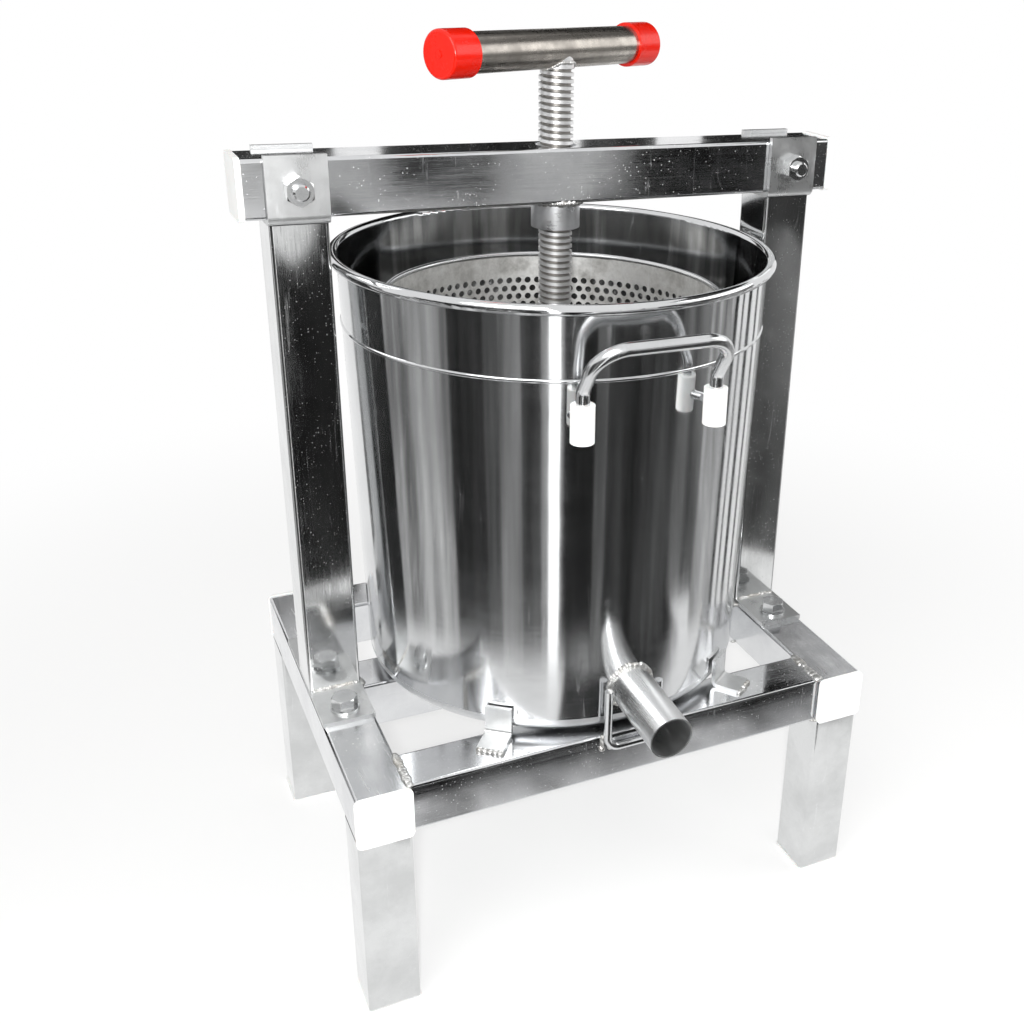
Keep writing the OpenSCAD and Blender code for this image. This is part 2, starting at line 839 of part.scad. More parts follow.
module press_plate() {
    color(bright) at_screw() translate([0, 0, plate_z]) difference() {
        cylinder(h = plate_t, d = plate_d);
        translate([0, 0, -1]) cylinder(h = plate_t + 2, d = journal_d + 2 * journal_fit);
    }
}

module plate_ribs() {
    start = hub_d / 2;
    end = plate_d / 2 - rib_inset;
    color(bright) at_screw() difference() {
        for (i = [0 : rib_count - 1]) rotate([0, 0, i * 360 / rib_count])
            translate([0, rib_t / 2, plate_top]) rotate([90, 0, 0]) linear_extrude(rib_t)
                polygon([
                    [start - 2, 0], [end, 0], [end, rib_end_h],
                    [start + rib_flat, rib_h], [start - 2, rib_h]
                ]);
        translate([0, 0, plate_top - 1]) cylinder(h = hub_h + 2, d = hub_d);
    }
}

// Two pins across the hub, one on each side of the screw's groove
module pin_rods(diameter) {
    for (s = [-1, 1]) translate([s * journal_d / 2, hub_d / 2, groove_z])
        rotate([90, 0, 0]) cylinder(h = hub_d, d = diameter);
}

module plate_hub() {
    color(bright) at_screw() difference() {
        translate([0, 0, plate_top]) cylinder(h = hub_h, d = hub_d);
        translate([0, 0, plate_top - 1]) cylinder(h = hub_h + 2, d = journal_d + 2 * journal_fit);
        pin_rods(pin_d);
    }
}

module hub_pins() {
    color(steel) at_screw() intersection() {
        pin_rods(pin_d);
        cylinder(h = hub_top, d = hub_d);
    }
}

module thrust_washer() {
    color(bronze) at_screw() translate([0, 0, hub_top]) difference() {
        cylinder(h = thrust_t, d = screw_d + 8);
        translate([0, 0, -1]) cylinder(h = thrust_t + 2, d = journal_d + 2 * journal_fit);
    }
}

// Outline of the thread's crests and roots, from the shoulder up
function thread_points(r, z0, turns) = [
    for (i = [0 : turns - 1], step = [
        [r, 0.08], [r, 0.42], [r - thread_depth, 0.58], [r - thread_depth, 0.92]
    ]) [step[0], z0 + (i + step[1]) * screw_pitch]
];

module screw() {
    r = screw_d / 2;
    journal_r = journal_d / 2;
    groove_r = journal_r - pin_d / 2 - pin_gap;
    groove_half = pin_d / 2 + pin_gap;
    end_z = plate_z + 1;
    chamfer = 2;
    thread_z = shoulder_z + chamfer;
    turns = floor((t_bar_z - t_bar_d / 2 - thread_z) / screw_pitch);
    color(bright) at_screw() difference() {
        rotate_extrude() polygon(concat(
            [[0, end_z], [journal_r - 1, end_z], [journal_r, end_z + 1]],
            [[journal_r, groove_z - groove_half], [groove_r, groove_z - groove_half]],
            [[groove_r, groove_z + groove_half], [journal_r, groove_z + groove_half]],
            [[journal_r, shoulder_z], [r - chamfer, shoulder_z]],
            thread_points(r, thread_z, turns),
            [[r, t_bar_z], [0, t_bar_z]]
        ));
        on_t_bar() translate([0, 0, -t_bar_l / 2]) cylinder(h = t_bar_l, d = t_bar_d);
    }
}

// Places its children in the cross handle's middle, with its axis as their Z axis
module on_t_bar() {
    translate([0, 0, t_bar_z]) rotate([0, 0, t_bar_angle]) rotate([0, 90, 0])
        translate([0, 0, -t_bar_off]) children();
}

module t_bar() {
    color(bright) at_screw() on_t_bar() translate([0, 0, -t_bar_l / 2]) difference() {
        cylinder(h = t_bar_l, d = t_bar_d);
        translate([0, 0, -1]) cylinder(h = t_bar_l + 2, d = t_bar_d - 2 * t_bar_wall);
    }
}

// One dipped cap: closed end on top, skirt down over the tube
module t_bar_cap() {
    r = t_bar_d / 2 + t_cap_wall;
    top = t_cap_wall;
    difference() {
        union() {
            translate([0, 0, -t_cap_skirt]) cylinder(h = t_cap_skirt + top - t_cap_edge, r = r);
            cylinder(h = top, r = r - t_cap_edge);
            translate([0, 0, top - t_cap_edge]) rotate_extrude()
                translate([r - t_cap_edge, 0]) circle(r = t_cap_edge);
            cylinder(h = top + t_cap_nub_h, d = t_cap_nub_d);
        }
        translate([0, 0, -t_cap_skirt - 1]) cylinder(h = t_cap_skirt + 1, d = t_bar_d);
    }
}

module t_bar_caps() {
    color(red) at_screw() on_t_bar() for (s = [0, 1]) mirror([0, 0, s])
        translate([0, 0, t_bar_l / 2]) t_bar_cap();
}

left_rail();
right_rail();
front_rail();
rear_rail();
middle_rail();
front_left_leg();
front_right_leg();
rear_left_leg();
rear_right_leg();
rail_caps();
foot_caps();
left_post();
right_post();
left_foot_plate();
right_foot_plate();
foot_bolts();
foot_washers();
foot_nuts();
left_saddle();
right_saddle();
beam();
beam_caps();
beam_bolts();
beam_nuts();
screw_nut();
tank_stops();
spout_stirrup();
tank_shell();
tank_rim();
tank_floor();
spout();
front_handle();
rear_handle();
handle_sleeves();
handle_studs();
basket_shell();
basket_rim();
basket_floor();
basket_feet();
press_plate();
plate_ribs();
plate_hub();
hub_pins();
thrust_washer();
screw();
t_bar();
t_bar_caps();
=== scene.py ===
"""Looks of a manual fruit press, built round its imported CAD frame.

Metres, +Z up, +X along the top beam to the right, -Y to the front, where the spout is.
The screw's axis stands at x 0, y AXIS_Y. The CAD nodes keep their shapes and get their
finishes here; the perforated sheet, the threads and the welds are made here.
"""

import logging
import math
from dataclasses import dataclass, field, replace
from enum import Enum
from functools import partial
from typing import Optional

import bpy
from mathutils import Matrix, Vector


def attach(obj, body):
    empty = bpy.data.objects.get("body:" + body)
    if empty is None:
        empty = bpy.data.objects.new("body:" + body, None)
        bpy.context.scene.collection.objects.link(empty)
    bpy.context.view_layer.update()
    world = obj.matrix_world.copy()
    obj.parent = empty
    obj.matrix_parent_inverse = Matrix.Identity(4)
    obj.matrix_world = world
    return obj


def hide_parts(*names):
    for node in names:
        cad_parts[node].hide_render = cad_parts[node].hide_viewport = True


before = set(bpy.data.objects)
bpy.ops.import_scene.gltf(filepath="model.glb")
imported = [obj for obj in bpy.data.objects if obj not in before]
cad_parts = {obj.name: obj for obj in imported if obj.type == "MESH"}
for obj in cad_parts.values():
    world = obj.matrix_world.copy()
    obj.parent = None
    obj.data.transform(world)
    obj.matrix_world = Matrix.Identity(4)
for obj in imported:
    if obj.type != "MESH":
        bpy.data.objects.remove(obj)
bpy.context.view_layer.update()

LOG = logging.getLogger("fruit_press")
AXIS_Y = 0.017
PER_METRE = 1000.0  # over a pattern's size in millimetres, this is its scale
MERGE = 0.00005  # corners nearer than this, in metres, become one
SKIN_MERGE = 0.00002  # the same for the sheet's two skins, which share their edges
RING_POINTS = 40  # corners of a ring of weld
NEAR_RING, FAR_RING = 0.68, 2.6  # radii of the two rings of studio cards, in metres
Point = tuple[float, float, float]


# ---------------------------------------------------------------- small tools

def linear(colour: str) -> tuple[float, float, float, float]:
    """Turns an sRGB hex colour into Blender's linear colour.

    Args:
        colour: The colour, such as "#C8CACB".

    Returns:
        Red, green and blue in linear light, and an alpha of 1.
    """
    parts = [int(colour[i:i + 2], 16) / 255 for i in (1, 3, 5)]
    red, green, blue = (p / 12.92 if p <= 0.04045 else ((p + 0.055) / 1.055) ** 2.4 for p in parts)
    return red, green, blue, 1.0


def add_node(
    tree: bpy.types.NodeTree,
    kind: str,
    inputs: Optional[dict] = None,
    out: int | str = 0,
    **settings: object,
) -> Optional[bpy.types.NodeSocket]:
    """Adds a node with its settings and links.

    Args:
        tree: The shader or geometry tree.
        kind: The node's type name.
        inputs: Input name or number, with the value to set or the socket to link. A Map Range
            takes its value at 0, the range it comes from at 1 and 2, and the range it goes to at
            3 and 4. A Mix of colours takes its share at 0 and the two colours at 6 and 7, and
            gives the mixed one at 2.
        out: Name or number of the output to return.
        **settings: The node's own properties.

    Returns:
        That output, whose .node is the new node; None where the node has no output.
    """
    node = tree.nodes.new(kind)
    for name, value in settings.items():
        setattr(node, name, value)
    for key, value in (inputs or {}).items():
        socket = node.inputs[key]
        if isinstance(value, bpy.types.NodeSocket):
            tree.links.new(value, socket)
        else:
            socket.default_value = value
    return node.outputs[out] if node.outputs else None


def mesh_object(
    name: str,
    points: list[Point],
    faces: list[tuple[int, ...]],
    edges: Optional[list[tuple[int, int]]] = None,
) -> bpy.types.Object:
    """Makes a linked mesh object at the origin.

    Args:
        name: The object's name.
        points: Corner points in metres.
        faces: Corner numbers of each face.
        edges: Corner numbers of loose edges.

    Returns:
        The object.
    """
    mesh = bpy.data.meshes.new(name)
    mesh.from_pydata(points, edges or [], faces)
    mesh.update()
    made = bpy.data.objects.new(name, mesh)
    bpy.context.scene.collection.objects.link(made)
    return made


def lathe(name: str, profile: list[tuple[float, float]], sides: int) -> bpy.types.Object:
    """Turns a profile round the screw's axis into a closed solid.

    Args:
        name: The object's name.
        profile: Radius and height of each corner, from the bottom's middle to the top's.
        sides: Faces round the axis.

    Returns:
        The object, with its normals outwards.
    """
    points: list[Point] = []
    rings: list[list[int]] = []
    for radius, z in profile:
        if radius == 0:
            rings.append([len(points)] * sides)
            points.append((0.0, AXIS_Y, z))
            continue
        rings.append(list(range(len(points), len(points) + sides)))
        for i in range(sides):
            turn = 2 * math.pi * i / sides
            points.append((radius * math.cos(turn), AXIS_Y + radius * math.sin(turn), z))
    faces = []
    for low, high in zip(rings, rings[1:]):
        for i in range(sides):
            j = (i + 1) % sides
            corners = tuple(dict.fromkeys((low[i], low[j], high[j], high[i])))
            if len(corners) > 2:
                faces.append(corners)
    return mesh_object(name, points, faces)


def smooth(piece: bpy.types.Object, angle: float = 35.0) -> None:
    """Shades a piece smooth.

    Args:
        piece: The piece.
        angle: Edges that turn by more than this, in degrees, stay sharp.
    """
    piece.data.shade_smooth()
    piece.data.set_sharp_from_angle(angle=math.radians(angle))


def dress(material: bpy.types.Material, *nodes: str) -> None:
    """Gives CAD nodes a finish through their own material slots.

    Args:
        material: The finish.
        *nodes: The nodes' names.
    """
    for name in nodes:
        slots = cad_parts[name].data.materials
        if not slots:
            slots.append(material)
        for i in range(len(slots)):
            slots[i] = material


# ---------------------------------------------------------------- finishes

class Grain(Enum):
    """Which way the lines of a ground or brushed surface run, as the pattern's scale."""

    ALONG_X = (0.012, 1.0, 1.0)
    ALONG_Y = (1.0, 0.012, 1.0)
    ALONG_Z = (1.0, 1.0, 0.012)
    ROUND_Z = (0.03, 0.03, 1.0)
    NONE = (1.0, 1.0, 1.0)


@dataclass(frozen=True)
class SteelFinish:
    """Bare stainless steel, type 304: rolled, ground, brushed or turned.

    Attributes:
        name: The finish, as a maker would say it.
        colour: The steel's own colour.
        dark: The colour in its duller patches.
        roughness: Mean roughness.
        grain: Which way the grinding lines run.
        grain_mm: Spacing of the lines; drawn coarser than 240 grit's 0.06 mm, to show.
        grain_um: Depth of the lines in micrometres.
        grain_rough: How much the lines change the roughness.
        cloud_mm: Size of the duller patches.
        wave_um: Height of the sheet's slow waves, which make mirrored lines wander.
        wave_mm: Length of those waves.
        scratch: Share of scratches that show, from 0 to 1.
        specks: Share of dried water spots that show, from 0 to 1.
        haze: Roughness that fingermarks and dust add in small patches.
        turn: Turn of the pattern about Z, in degrees, for a bar that lies slanted.
        streak: Anisotropy round Z, which draws a lamp out into an upright streak.
        inner: Colour of the painted shade on faces that look towards the Z axis, in upright
        runs, for a vessel's darker inside, or none.
    """

    name: str
    colour: str = "#C4C5C6"
    dark: str = "#A9ABAD"
    roughness: float = 0.2
    grain: Grain = Grain.NONE
    grain_mm: float = 0.5
    grain_um: float = 2.0
    grain_rough: float = 0.1
    cloud_mm: float = 70.0
    wave_um: float = 0.0
    wave_mm: float = 60.0
    scratch: float = 0.5
    specks: float = 0.0
    haze: float = 0.0
    turn: float = 0.0
    streak: float = 0.0
    inner: str = ""

    def tone(
        self, tree: bpy.types.NodeTree, point: bpy.types.NodeSocket, cloud: bpy.types.NodeSocket
    ) -> bpy.types.NodeSocket:
        """Returns the colour, duller in patches.

        Args:
            tree: The material's tree.
            point: Object coordinates; not used here.
            cloud: The patches, from 0 to 1.

        Returns:
            The colour's socket.
        """
        add = partial(add_node, tree)
        return add(
            "ShaderNodeMix",
            {0: cloud, 6: linear(self.dark), 7: linear(self.colour)},
            data_type="RGBA",
            out=2,
        )

    def build(self) -> bpy.types.Material:
        """Makes the material.

        Returns:
            The material.
        """
        material = bpy.data.materials.new(self.name)
        material.use_nodes = True
        tree = material.node_tree
        add = partial(add_node, tree)
        shader = tree.nodes["Principled BSDF"]
        place = add("ShaderNodeTexCoord").node.outputs
        point = place["Object"]
        turned = add(
            "ShaderNodeMapping", {"Vector": point, "Rotation": (0.0, 0.0, -math.radians(self.turn))}
        )
        patches = add(
            "ShaderNodeTexNoise",
            {"Vector": point, "Scale": PER_METRE / self.cloud_mm, "Detail": 5.0, "Roughness": 0.62},
        )
        cloud = add("ShaderNodeMapRange", {0: patches, 1: 0.36, 2: 0.64, 3: 0.0, 4: 1.0})
        stretched = add("ShaderNodeMapping", {"Vector": turned, "Scale": self.grain.value})
        lines = add(
            "ShaderNodeTexNoise",
            {
                "Vector": stretched, "Scale": PER_METRE / self.grain_mm, "Detail": 3.0,
                "Roughness": 0.7,
            },
        )

        # Hair scratches: where a long-drawn noise crosses its middle value, broken off in patches
        scratches: float | bpy.types.NodeSocket = 0.0
        for number, (turn, tilt) in enumerate(((28.0, 62.0), (-50.0, -35.0), (80.0, 8.0))):
            swung = add(
                "ShaderNodeMapping",
                {
                    "Vector": turned,
                    "Rotation": (math.radians(tilt), 0.5, math.radians(turn)),
                    "Location": (0.3 * number, 0.7, 0.1),
                    "Scale": (1.0, 0.07, 0.07),
                },
            )
            noise = add(
                "ShaderNodeTexNoise", {"Vector": swung, "Scale": PER_METRE / 6, "Detail": 0.0}
            )
            off = add("ShaderNodeMath", {0: noise, 1: 0.5}, operation="SUBTRACT")
            near = add("ShaderNodeMath", {0: off}, operation="ABSOLUTE")
            thin = add("ShaderNodeMapRange", {0: near, 1: 0.004, 2: 0.03, 3: self.scratch, 4: 0.0})
            patchy = add(
                "ShaderNodeTexNoise",
                {"Vector": swung, "Scale": PER_METRE / 11, "Detail": 5.0, "Roughness": 0.65},
            )
            where = add("ShaderNodeMapRange", {0: patchy, 1: 0.6, 2: 0.66, 3: 0.0, 4: 1.0})
            thin = add("ShaderNodeMath", {0: thin, 1: where}, operation="MULTIPLY")
            scratches = add("ShaderNodeMath", {0: scratches, 1: thin}, operation="MAXIMUM")

        colour = self.tone(tree, point, cloud)
        # Painted shade: faces that look towards the axis take the darker inner colour, in upright
        # runs
        if self.inner:
            outward = add(
                "ShaderNodeVectorMath",
                {0: place["Normal"], 1: point},
                operation="DOT_PRODUCT",
                out="Value",
            )
            inside = add("ShaderNodeMath", {0: outward, 1: 0.0}, operation="LESS_THAN")
            hung = add("ShaderNodeMapping", {"Vector": point, "Scale": (1.0, 1.0, 0.06)})
            runs = add(
                "ShaderNodeTexNoise", {"Vector": hung, "Scale": PER_METRE / 24, "Detail": 3.0}
            )
            clean = add("ShaderNodeMapRange", {0: runs, 1: 0.5, 2: 0.68, 3: 0.0, 4: 1.0})
            shaded_inside = add(
                "ShaderNodeMix",
                {0: clean, 6: linear(self.inner), 7: linear(self.colour)},
                data_type="RGBA",
                out=2,
            )
            colour = add(
                "ShaderNodeMix", {0: inside, 6: colour, 7: shaded_inside}, data_type="RGBA", out=2
            )
        colour = add(
            "ShaderNodeMix",
            {0: scratches, 6: colour, 7: linear("#E6E7E8")},
            data_type="RGBA",
            out=2,
        )
        rough = add(
            "ShaderNodeMapRange",
            {0: patches, 1: 0.3, 2: 0.7, 3: self.roughness * 1.35, 4: self.roughness * 0.75},
        )
        streaks = add(
            "ShaderNodeMapRange",
            {0: lines, 1: 0.35, 2: 0.65, 3: -self.grain_rough, 4: self.grain_rough},
        )
        rough = add("ShaderNodeMath", {0: rough, 1: streaks}, operation="ADD")
        rough = add("ShaderNodeMath", {0: scratches, 1: 0.25, 2: rough}, operation="MULTIPLY_ADD")
        if self.haze:
            # Wiped along the grain: dust and fingermarks dull the mirror unevenly
            wiped = add(
                "ShaderNodeMapping",
                {"Vector": turned, "Scale": tuple(0.35 + 0.65 * g for g in self.grain.value)},
            )
            marks = add(
                "ShaderNodeTexNoise",
                {"Vector": wiped, "Scale": PER_METRE / 30, "Detail": 9.0, "Roughness": 0.62},
            )
            dull = add("ShaderNodeMapRange", {0: marks, 1: 0.36, 2: 0.76, 3: 0.0, 4: self.haze})
            rough = add("ShaderNodeMath", {0: rough, 1: dull}, operation="ADD")
        if self.specks:
            # Dried drops and dust: round spots of many sizes, thicker in patches
            cells = add("ShaderNodeTexVoronoi", {"Vector": point, "Scale": PER_METRE / 2.0})
            chance = add("ShaderNodeSeparateColor", {0: cells.node.outputs["Color"]})
            big = add("ShaderNodeMath", {0: chance, 1: 3.0}, operation="POWER")
            dusty = add("ShaderNodeMapRange", {0: patches, 1: 0.36, 2: 0.66, 3: 0.16, 4: 0.34})
            big = add("ShaderNodeMath", {0: big, 1: dusty}, operation="MULTIPLY")
            near = add(
                "ShaderNodeMath", {0: big, 1: cells.node.outputs["Distance"]}, operation="SUBTRACT"
            )
            spot = add("ShaderNodeMapRange", {0: near, 1: 0.0, 2: 0.03, 3: 0.0, 4: self.specks})
            colour = add(
                "ShaderNodeMix", {0: spot, 6: colour, 7: linear("#EDEEEF")}, data_type="RGBA", out=2
            )
            rough = add("ShaderNodeMath", {0: spot, 1: 0.5, 2: rough}, operation="MULTIPLY_ADD")

        normal = add(
            "ShaderNodeBump", {"Height": lines, "Distance": self.grain_um * 1e-6, "Strength": 1.0}
        )
        if self.wave_um:
            slow = add(
                "ShaderNodeTexNoise",
                {
                    "Vector": point, "Scale": PER_METRE / self.wave_mm, "Detail": 2.0,
                    "Roughness": 0.4,
                },
            )
            normal = add(
                "ShaderNodeBump",
                {
                    "Height": slow, "Distance": self.wave_um * 1e-6, "Strength": 1.0,
                    "Normal": normal,
                },
            )
        shader.inputs["Metallic"].default_value = 1.0
        tree.links.new(colour, shader.inputs["Base Color"])
        tree.links.new(
            add("ShaderNodeClamp", {0: rough, 1: 0.04, 2: 0.8}), shader.inputs["Roughness"]
        )
        tree.links.new(normal, shader.inputs["Normal"])
        if self.streak:
            shader.inputs["Anisotropic"].default_value = self.streak
            shader.inputs["Anisotropic Rotation"].default_value = 0.25
            tangent = add("ShaderNodeTangent", direction_type="RADIAL", axis="Z")
            tree.links.new(tangent, shader.inputs["Tangent"])
        return material


@dataclass(frozen=True)
class ThreadFinish(SteelFinish):
    """Turned thread: pale crests, with painted shade darkening the roots.

    Attributes:
        root: Radius of the roots, in metres.
        crest: Radius of the crests, in metres.
    """

    root: float = 0.0134
    crest: float = 0.016

    def tone(
        self, tree: bpy.types.NodeTree, point: bpy.types.NodeSocket, cloud: bpy.types.NodeSocket
    ) -> bpy.types.NodeSocket:
        """Returns the colour, darkened by painted shade in the thread's roots.

        Args:
            tree: The material's tree.
            point: Object coordinates.
            cloud: The duller patches, from 0 to 1.

        Returns:
            The colour's socket.
        """
        add = partial(add_node, tree)
        plain = super().tone(tree, point, cloud)
        centred = add(
            "ShaderNodeMapping",
            {"Vector": point, "Location": (0.0, -AXIS_Y, 0.0), "Scale": (1.0, 1.0, 0.0)},
        )
        radius = add("ShaderNodeVectorMath", {0: centred}, operation="LENGTH", out="Value")
        # Painted shade: the colour darkens from the crests down into the roots
        height = add(
            "ShaderNodeMapRange", {0: radius, 1: self.root, 2: self.crest - 0.0008, 3: 0.0, 4: 1.0}
        )
        return add(
            "ShaderNodeMix", {0: height, 6: linear("#8F8C88"), 7: plain}, data_type="RGBA", out=2
        )


@dataclass(frozen=True)
class WeldFinish(SteelFinish):
    """Arc-welded bead, brushed: rippled, with straw heat tint in patches."""

    def tone(
        self, tree: bpy.types.NodeTree, point: bpy.types.NodeSocket, cloud: bpy.types.NodeSocket
    ) -> bpy.types.NodeSocket:
        """Returns the colour, with heat tint in patches.

        Args:
            tree: The material's tree.
            point: Object coordinates.
            cloud: The duller patches, from 0 to 1.

        Returns:
            The colour's socket.
        """
        add = partial(add_node, tree)
        plain = super().tone(tree, point, cloud)
        tint = add("ShaderNodeTexNoise", {"Vector": point, "Scale": PER_METRE / 14, "Detail": 1.0})
        share = add("ShaderNodeMapRange", {0: tint, 1: 0.5, 2: 0.7, 3: 0.0, 4: 0.3})
        return add(
            "ShaderNodeMix", {0: share, 6: plain, 7: linear("#A79C8B")}, data_type="RGBA", out=2
        )


@dataclass(frozen=True)
class PlasticFinish:
    """A moulded or dipped plastic.

    Attributes:
        name: The plastic and how it was made.
        colour: Its colour.
        worn: Its colour where it is scuffed or grimy.
        roughness: Mean roughness.
        ior: Index of refraction of the plastic.
        depth_mm: How far light spreads under the surface.
        bump_um: Height of the surface's slow unevenness.
        bump_mm: Length of that unevenness.
        wear: Share of worn patches, from 0 to 1.
    """

    name: str
    colour: str
    worn: str
    roughness: float
    ior: float = 1.5
    depth_mm: float = 1.0
    bump_um: float = 20.0
    bump_mm: float = 5.0
    wear: float = 0.4

    def build(self) -> bpy.types.Material:
        """Makes the material.

        Returns:
            The material.
        """
        material = bpy.data.materials.new(self.name)
        material.use_nodes = True
        tree = material.node_tree
        add = partial(add_node, tree)
        shader = tree.nodes["Principled BSDF"]
        point = add("ShaderNodeTexCoord", out="Object")
        patches = add(
            "ShaderNodeTexNoise",
            {"Vector": point, "Scale": PER_METRE / 22, "Detail": 6.0, "Roughness": 0.65},
        )
        share = add("ShaderNodeMapRange", {0: patches, 1: 0.52, 2: 0.72, 3: 0.0, 4: self.wear})
        colour = add(
            "ShaderNodeMix",
            {0: share, 6: linear(self.colour), 7: linear(self.worn)},
            data_type="RGBA",
            out=2,
        )
        rough = add(
            "ShaderNodeMapRange",
            {0: patches, 1: 0.35, 2: 0.7, 3: self.roughness * 0.8, 4: self.roughness * 1.5},
        )
        slow = add(
            "ShaderNodeTexNoise",
            {"Vector": point, "Scale": PER_METRE / self.bump_mm, "Detail": 3.0},
        )
        normal = add(
            "ShaderNodeBump", {"Height": slow, "Distance": self.bump_um * 1e-6, "Strength": 1.0}
        )
        tree.links.new(colour, shader.inputs["Base Color"])
        tree.links.new(rough, shader.inputs["Roughness"])
        tree.links.new(normal, shader.inputs["Normal"])
        shader.inputs["IOR"].default_value = self.ior
        shader.inputs["Subsurface Weight"].default_value = 0.15
        shader.inputs["Subsurface Radius"].default_value = (1.0, 0.6, 0.5)
        shader.inputs["Subsurface Scale"].default_value = self.depth_mm / 1000
        return material


@dataclass
class Finishes:
    """Every finish of the press, built once."""

    # Nearly a mirror: the room stands in it as upright bands, drawn out by the brushing
    tank: SteelFinish = SteelFinish(
        "bright-rolled stainless sheet, brushed round the tank", colour="#DADBDC", dark="#CFD0D1",
        roughness=0.1, grain=Grain.ROUND_Z, grain_mm=0.9, grain_um=0.6, grain_rough=0.015,
        cloud_mm=120, wave_um=260, wave_mm=95, scratch=0.3, specks=0.25, haze=0.03, streak=0.85,
        # Painted shade darkens the tank's inside
        inner="#8C8D8E",
    )
    # Satin: a soft grey sheen with no clear image in it
    pan: SteelFinish = SteelFinish(
        "pressed stainless sheet, satin", colour="#DEDFE0", dark="#D3D4D5", roughness=0.32,
        grain=Grain.ROUND_Z, grain_mm=0.8, grain_um=0.8, grain_rough=0.02, cloud_mm=80, streak=0.4,
    )
    # Ground, then rubbed bright: mirrored shapes smear a little, hair scratches catch light
    tube_x: SteelFinish = SteelFinish(
        "ground stainless tube, lines along X", colour="#DFE0E1", dark="#D3D4D6", roughness=0.09,
        grain=Grain.ALONG_X, grain_mm=0.8, grain_um=0.8, grain_rough=0.03, cloud_mm=60, wave_um=30,
        wave_mm=45, scratch=0.5, specks=1.0, haze=0.08,
    )
    # The same tube lying front to back, more handled, so duller and more scratched
    tube_y: SteelFinish = replace(
        tube_x, name="ground stainless tube, lines along Y", grain=Grain.ALONG_Y, roughness=0.14,
        scratch=0.8, specks=0.8, haze=0.1,
    )
    # The same tube standing: the cleanest mirror of the three
    tube_z: SteelFinish = replace(
        tube_x, name="ground stainless tube, lines along Z", grain=Grain.ALONG_Z, colour="#DFE0E0",
        dark="#CFD0D0", roughness=0.075, wave_um=35, wave_mm=50, scratch=0.6, specks=0.4, haze=0.05,
    )
    # Left satin by the rolls: pale even grey, dull beside the tubes
    plate: SteelFinish = SteelFinish(
        "sheared stainless plate, satin", colour="#DEDFDF", dark="#CDCECE", roughness=0.33,
        grain=Grain.ALONG_Z, grain_mm=0.7, grain_um=1.0, grain_rough=0.02, cloud_mm=40, scratch=0.5,
    )
    # Drawn and polished: one bright line along it, dark at its sides
    rod: SteelFinish = SteelFinish(
        "drawn and polished stainless rod", colour="#DADBDC", dark="#CDCECF", roughness=0.18,
        grain=Grain.NONE, grain_mm=1.4, grain_um=0.6, grain_rough=0.02, wave_um=15, wave_mm=20,
        scratch=0.3,
    )
    # Lightly polished: a broad soft light along its top
    pipe: SteelFinish = SteelFinish(
        "welded stainless pipe, lightly polished", colour="#EFF0F0", dark="#DFE0E0", roughness=0.26,
        grain=Grain.ALONG_Y, grain_mm=1.0, grain_um=1.0, grain_rough=0.03, scratch=0.5, haze=0.1,
    )
    # Ground and much handled: warm grey, darker than the rest, with a dull band of light
    bar: SteelFinish = SteelFinish(
        "ground stainless tube of the cross handle, lines along it", colour="#BFB9B1",
        dark="#938E88", roughness=0.26, grain=Grain.ALONG_X, grain_mm=1.2, grain_um=0.8,
        grain_rough=0.03, cloud_mm=30, scratch=0.05, turn=25.0,
    )
    # Forged: small bright flats
    bolt: SteelFinish = SteelFinish(
        "cold-forged stainless bolt", colour="#DCDDDD", dark="#CCCDCE", roughness=0.16,
        grain_mm=1.0, grain_um=2.0, grain_rough=0.03, cloud_mm=20, scratch=0.3,
    )
    # Turned: satin, with fine rings round it
    turned: SteelFinish = SteelFinish(
        "turned stainless bar", colour="#DEDFE0", dark="#CFD0D2", roughness=0.34,
        grain=Grain.ROUND_Z, grain_mm=0.6, grain_um=1.5, grain_rough=0.04, cloud_mm=30, scratch=0.4,
    )
    # Turned: pale crests between roots darkened by painted shade
    thread: ThreadFinish = ThreadFinish(
        "turned stainless thread, painted shade in the roots", colour="#F4F4F4", dark="#E4E4E4", roughness=0.4,
        grain=Grain.ROUND_Z, grain_mm=0.5, grain_um=1.5, grain_rough=0.04, cloud_mm=20, scratch=0.2,
    )
    # Brushed after welding: pale ripples with straw tints
    weld: WeldFinish = WeldFinish(
        "arc weld, brushed", colour="#EAEAE8", dark="#A6A5A3", roughness=0.42, grain_mm=1.2,
        grain_um=12.0, cloud_mm=4, scratch=0.0,
    )
    # Etched by juice: matt light grey in dull clouds
    sieve: SteelFinish = SteelFinish(
        "punched stainless sheet, dulled by juice", colour="#F0F0EE", dark="#B5B4B1", roughness=0.6,
        grain=Grain.NONE, grain_mm=0.8, grain_um=1.5, grain_rough=0.04, cloud_mm=28, scratch=0.5,
    )
    # Turned: yellow-brown satin
    bronze: SteelFinish = SteelFinish(
        "turned tin bronze", colour="#B98A4E", dark="#8E6A3C", roughness=0.3, grain=Grain.ROUND_Z,
        grain_mm=0.4, grain_um=2.0, cloud_mm=10, scratch=0.3,
    )
    # Moulded: milky and slightly waxy, grimy in patches
    white: PlasticFinish = PlasticFinish(
        "injection-moulded white polyethylene", "#F4F4F2", "#E4E4E0", 0.38, ior=1.51, depth_mm=1.2,
        bump_um=25, bump_mm=6, wear=0.35,
    )
    # Dipped: saturated and glossy, its skin a little uneven
    red: PlasticFinish = PlasticFinish(
        "dip-moulded red soft PVC", "#D81600", "#A80E00", 0.22, ior=1.45, depth_mm=0.4, bump_um=60,
        bump_mm=9, wear=0.25,
    )
    made: dict[str, bpy.types.Material] = field(default_factory=dict)

    def get(self, name: str) -> bpy.types.Material:
        """Finds a finish's material, made on first use.

        Args:
            name: The finish's field name.

        Returns:
            The material.
        """
        if name not in self.made:
            self.made[name] = getattr(self, name).build()
        return self.made[name]


# ---------------------------------------------------------------- rules in Geometry Nodes

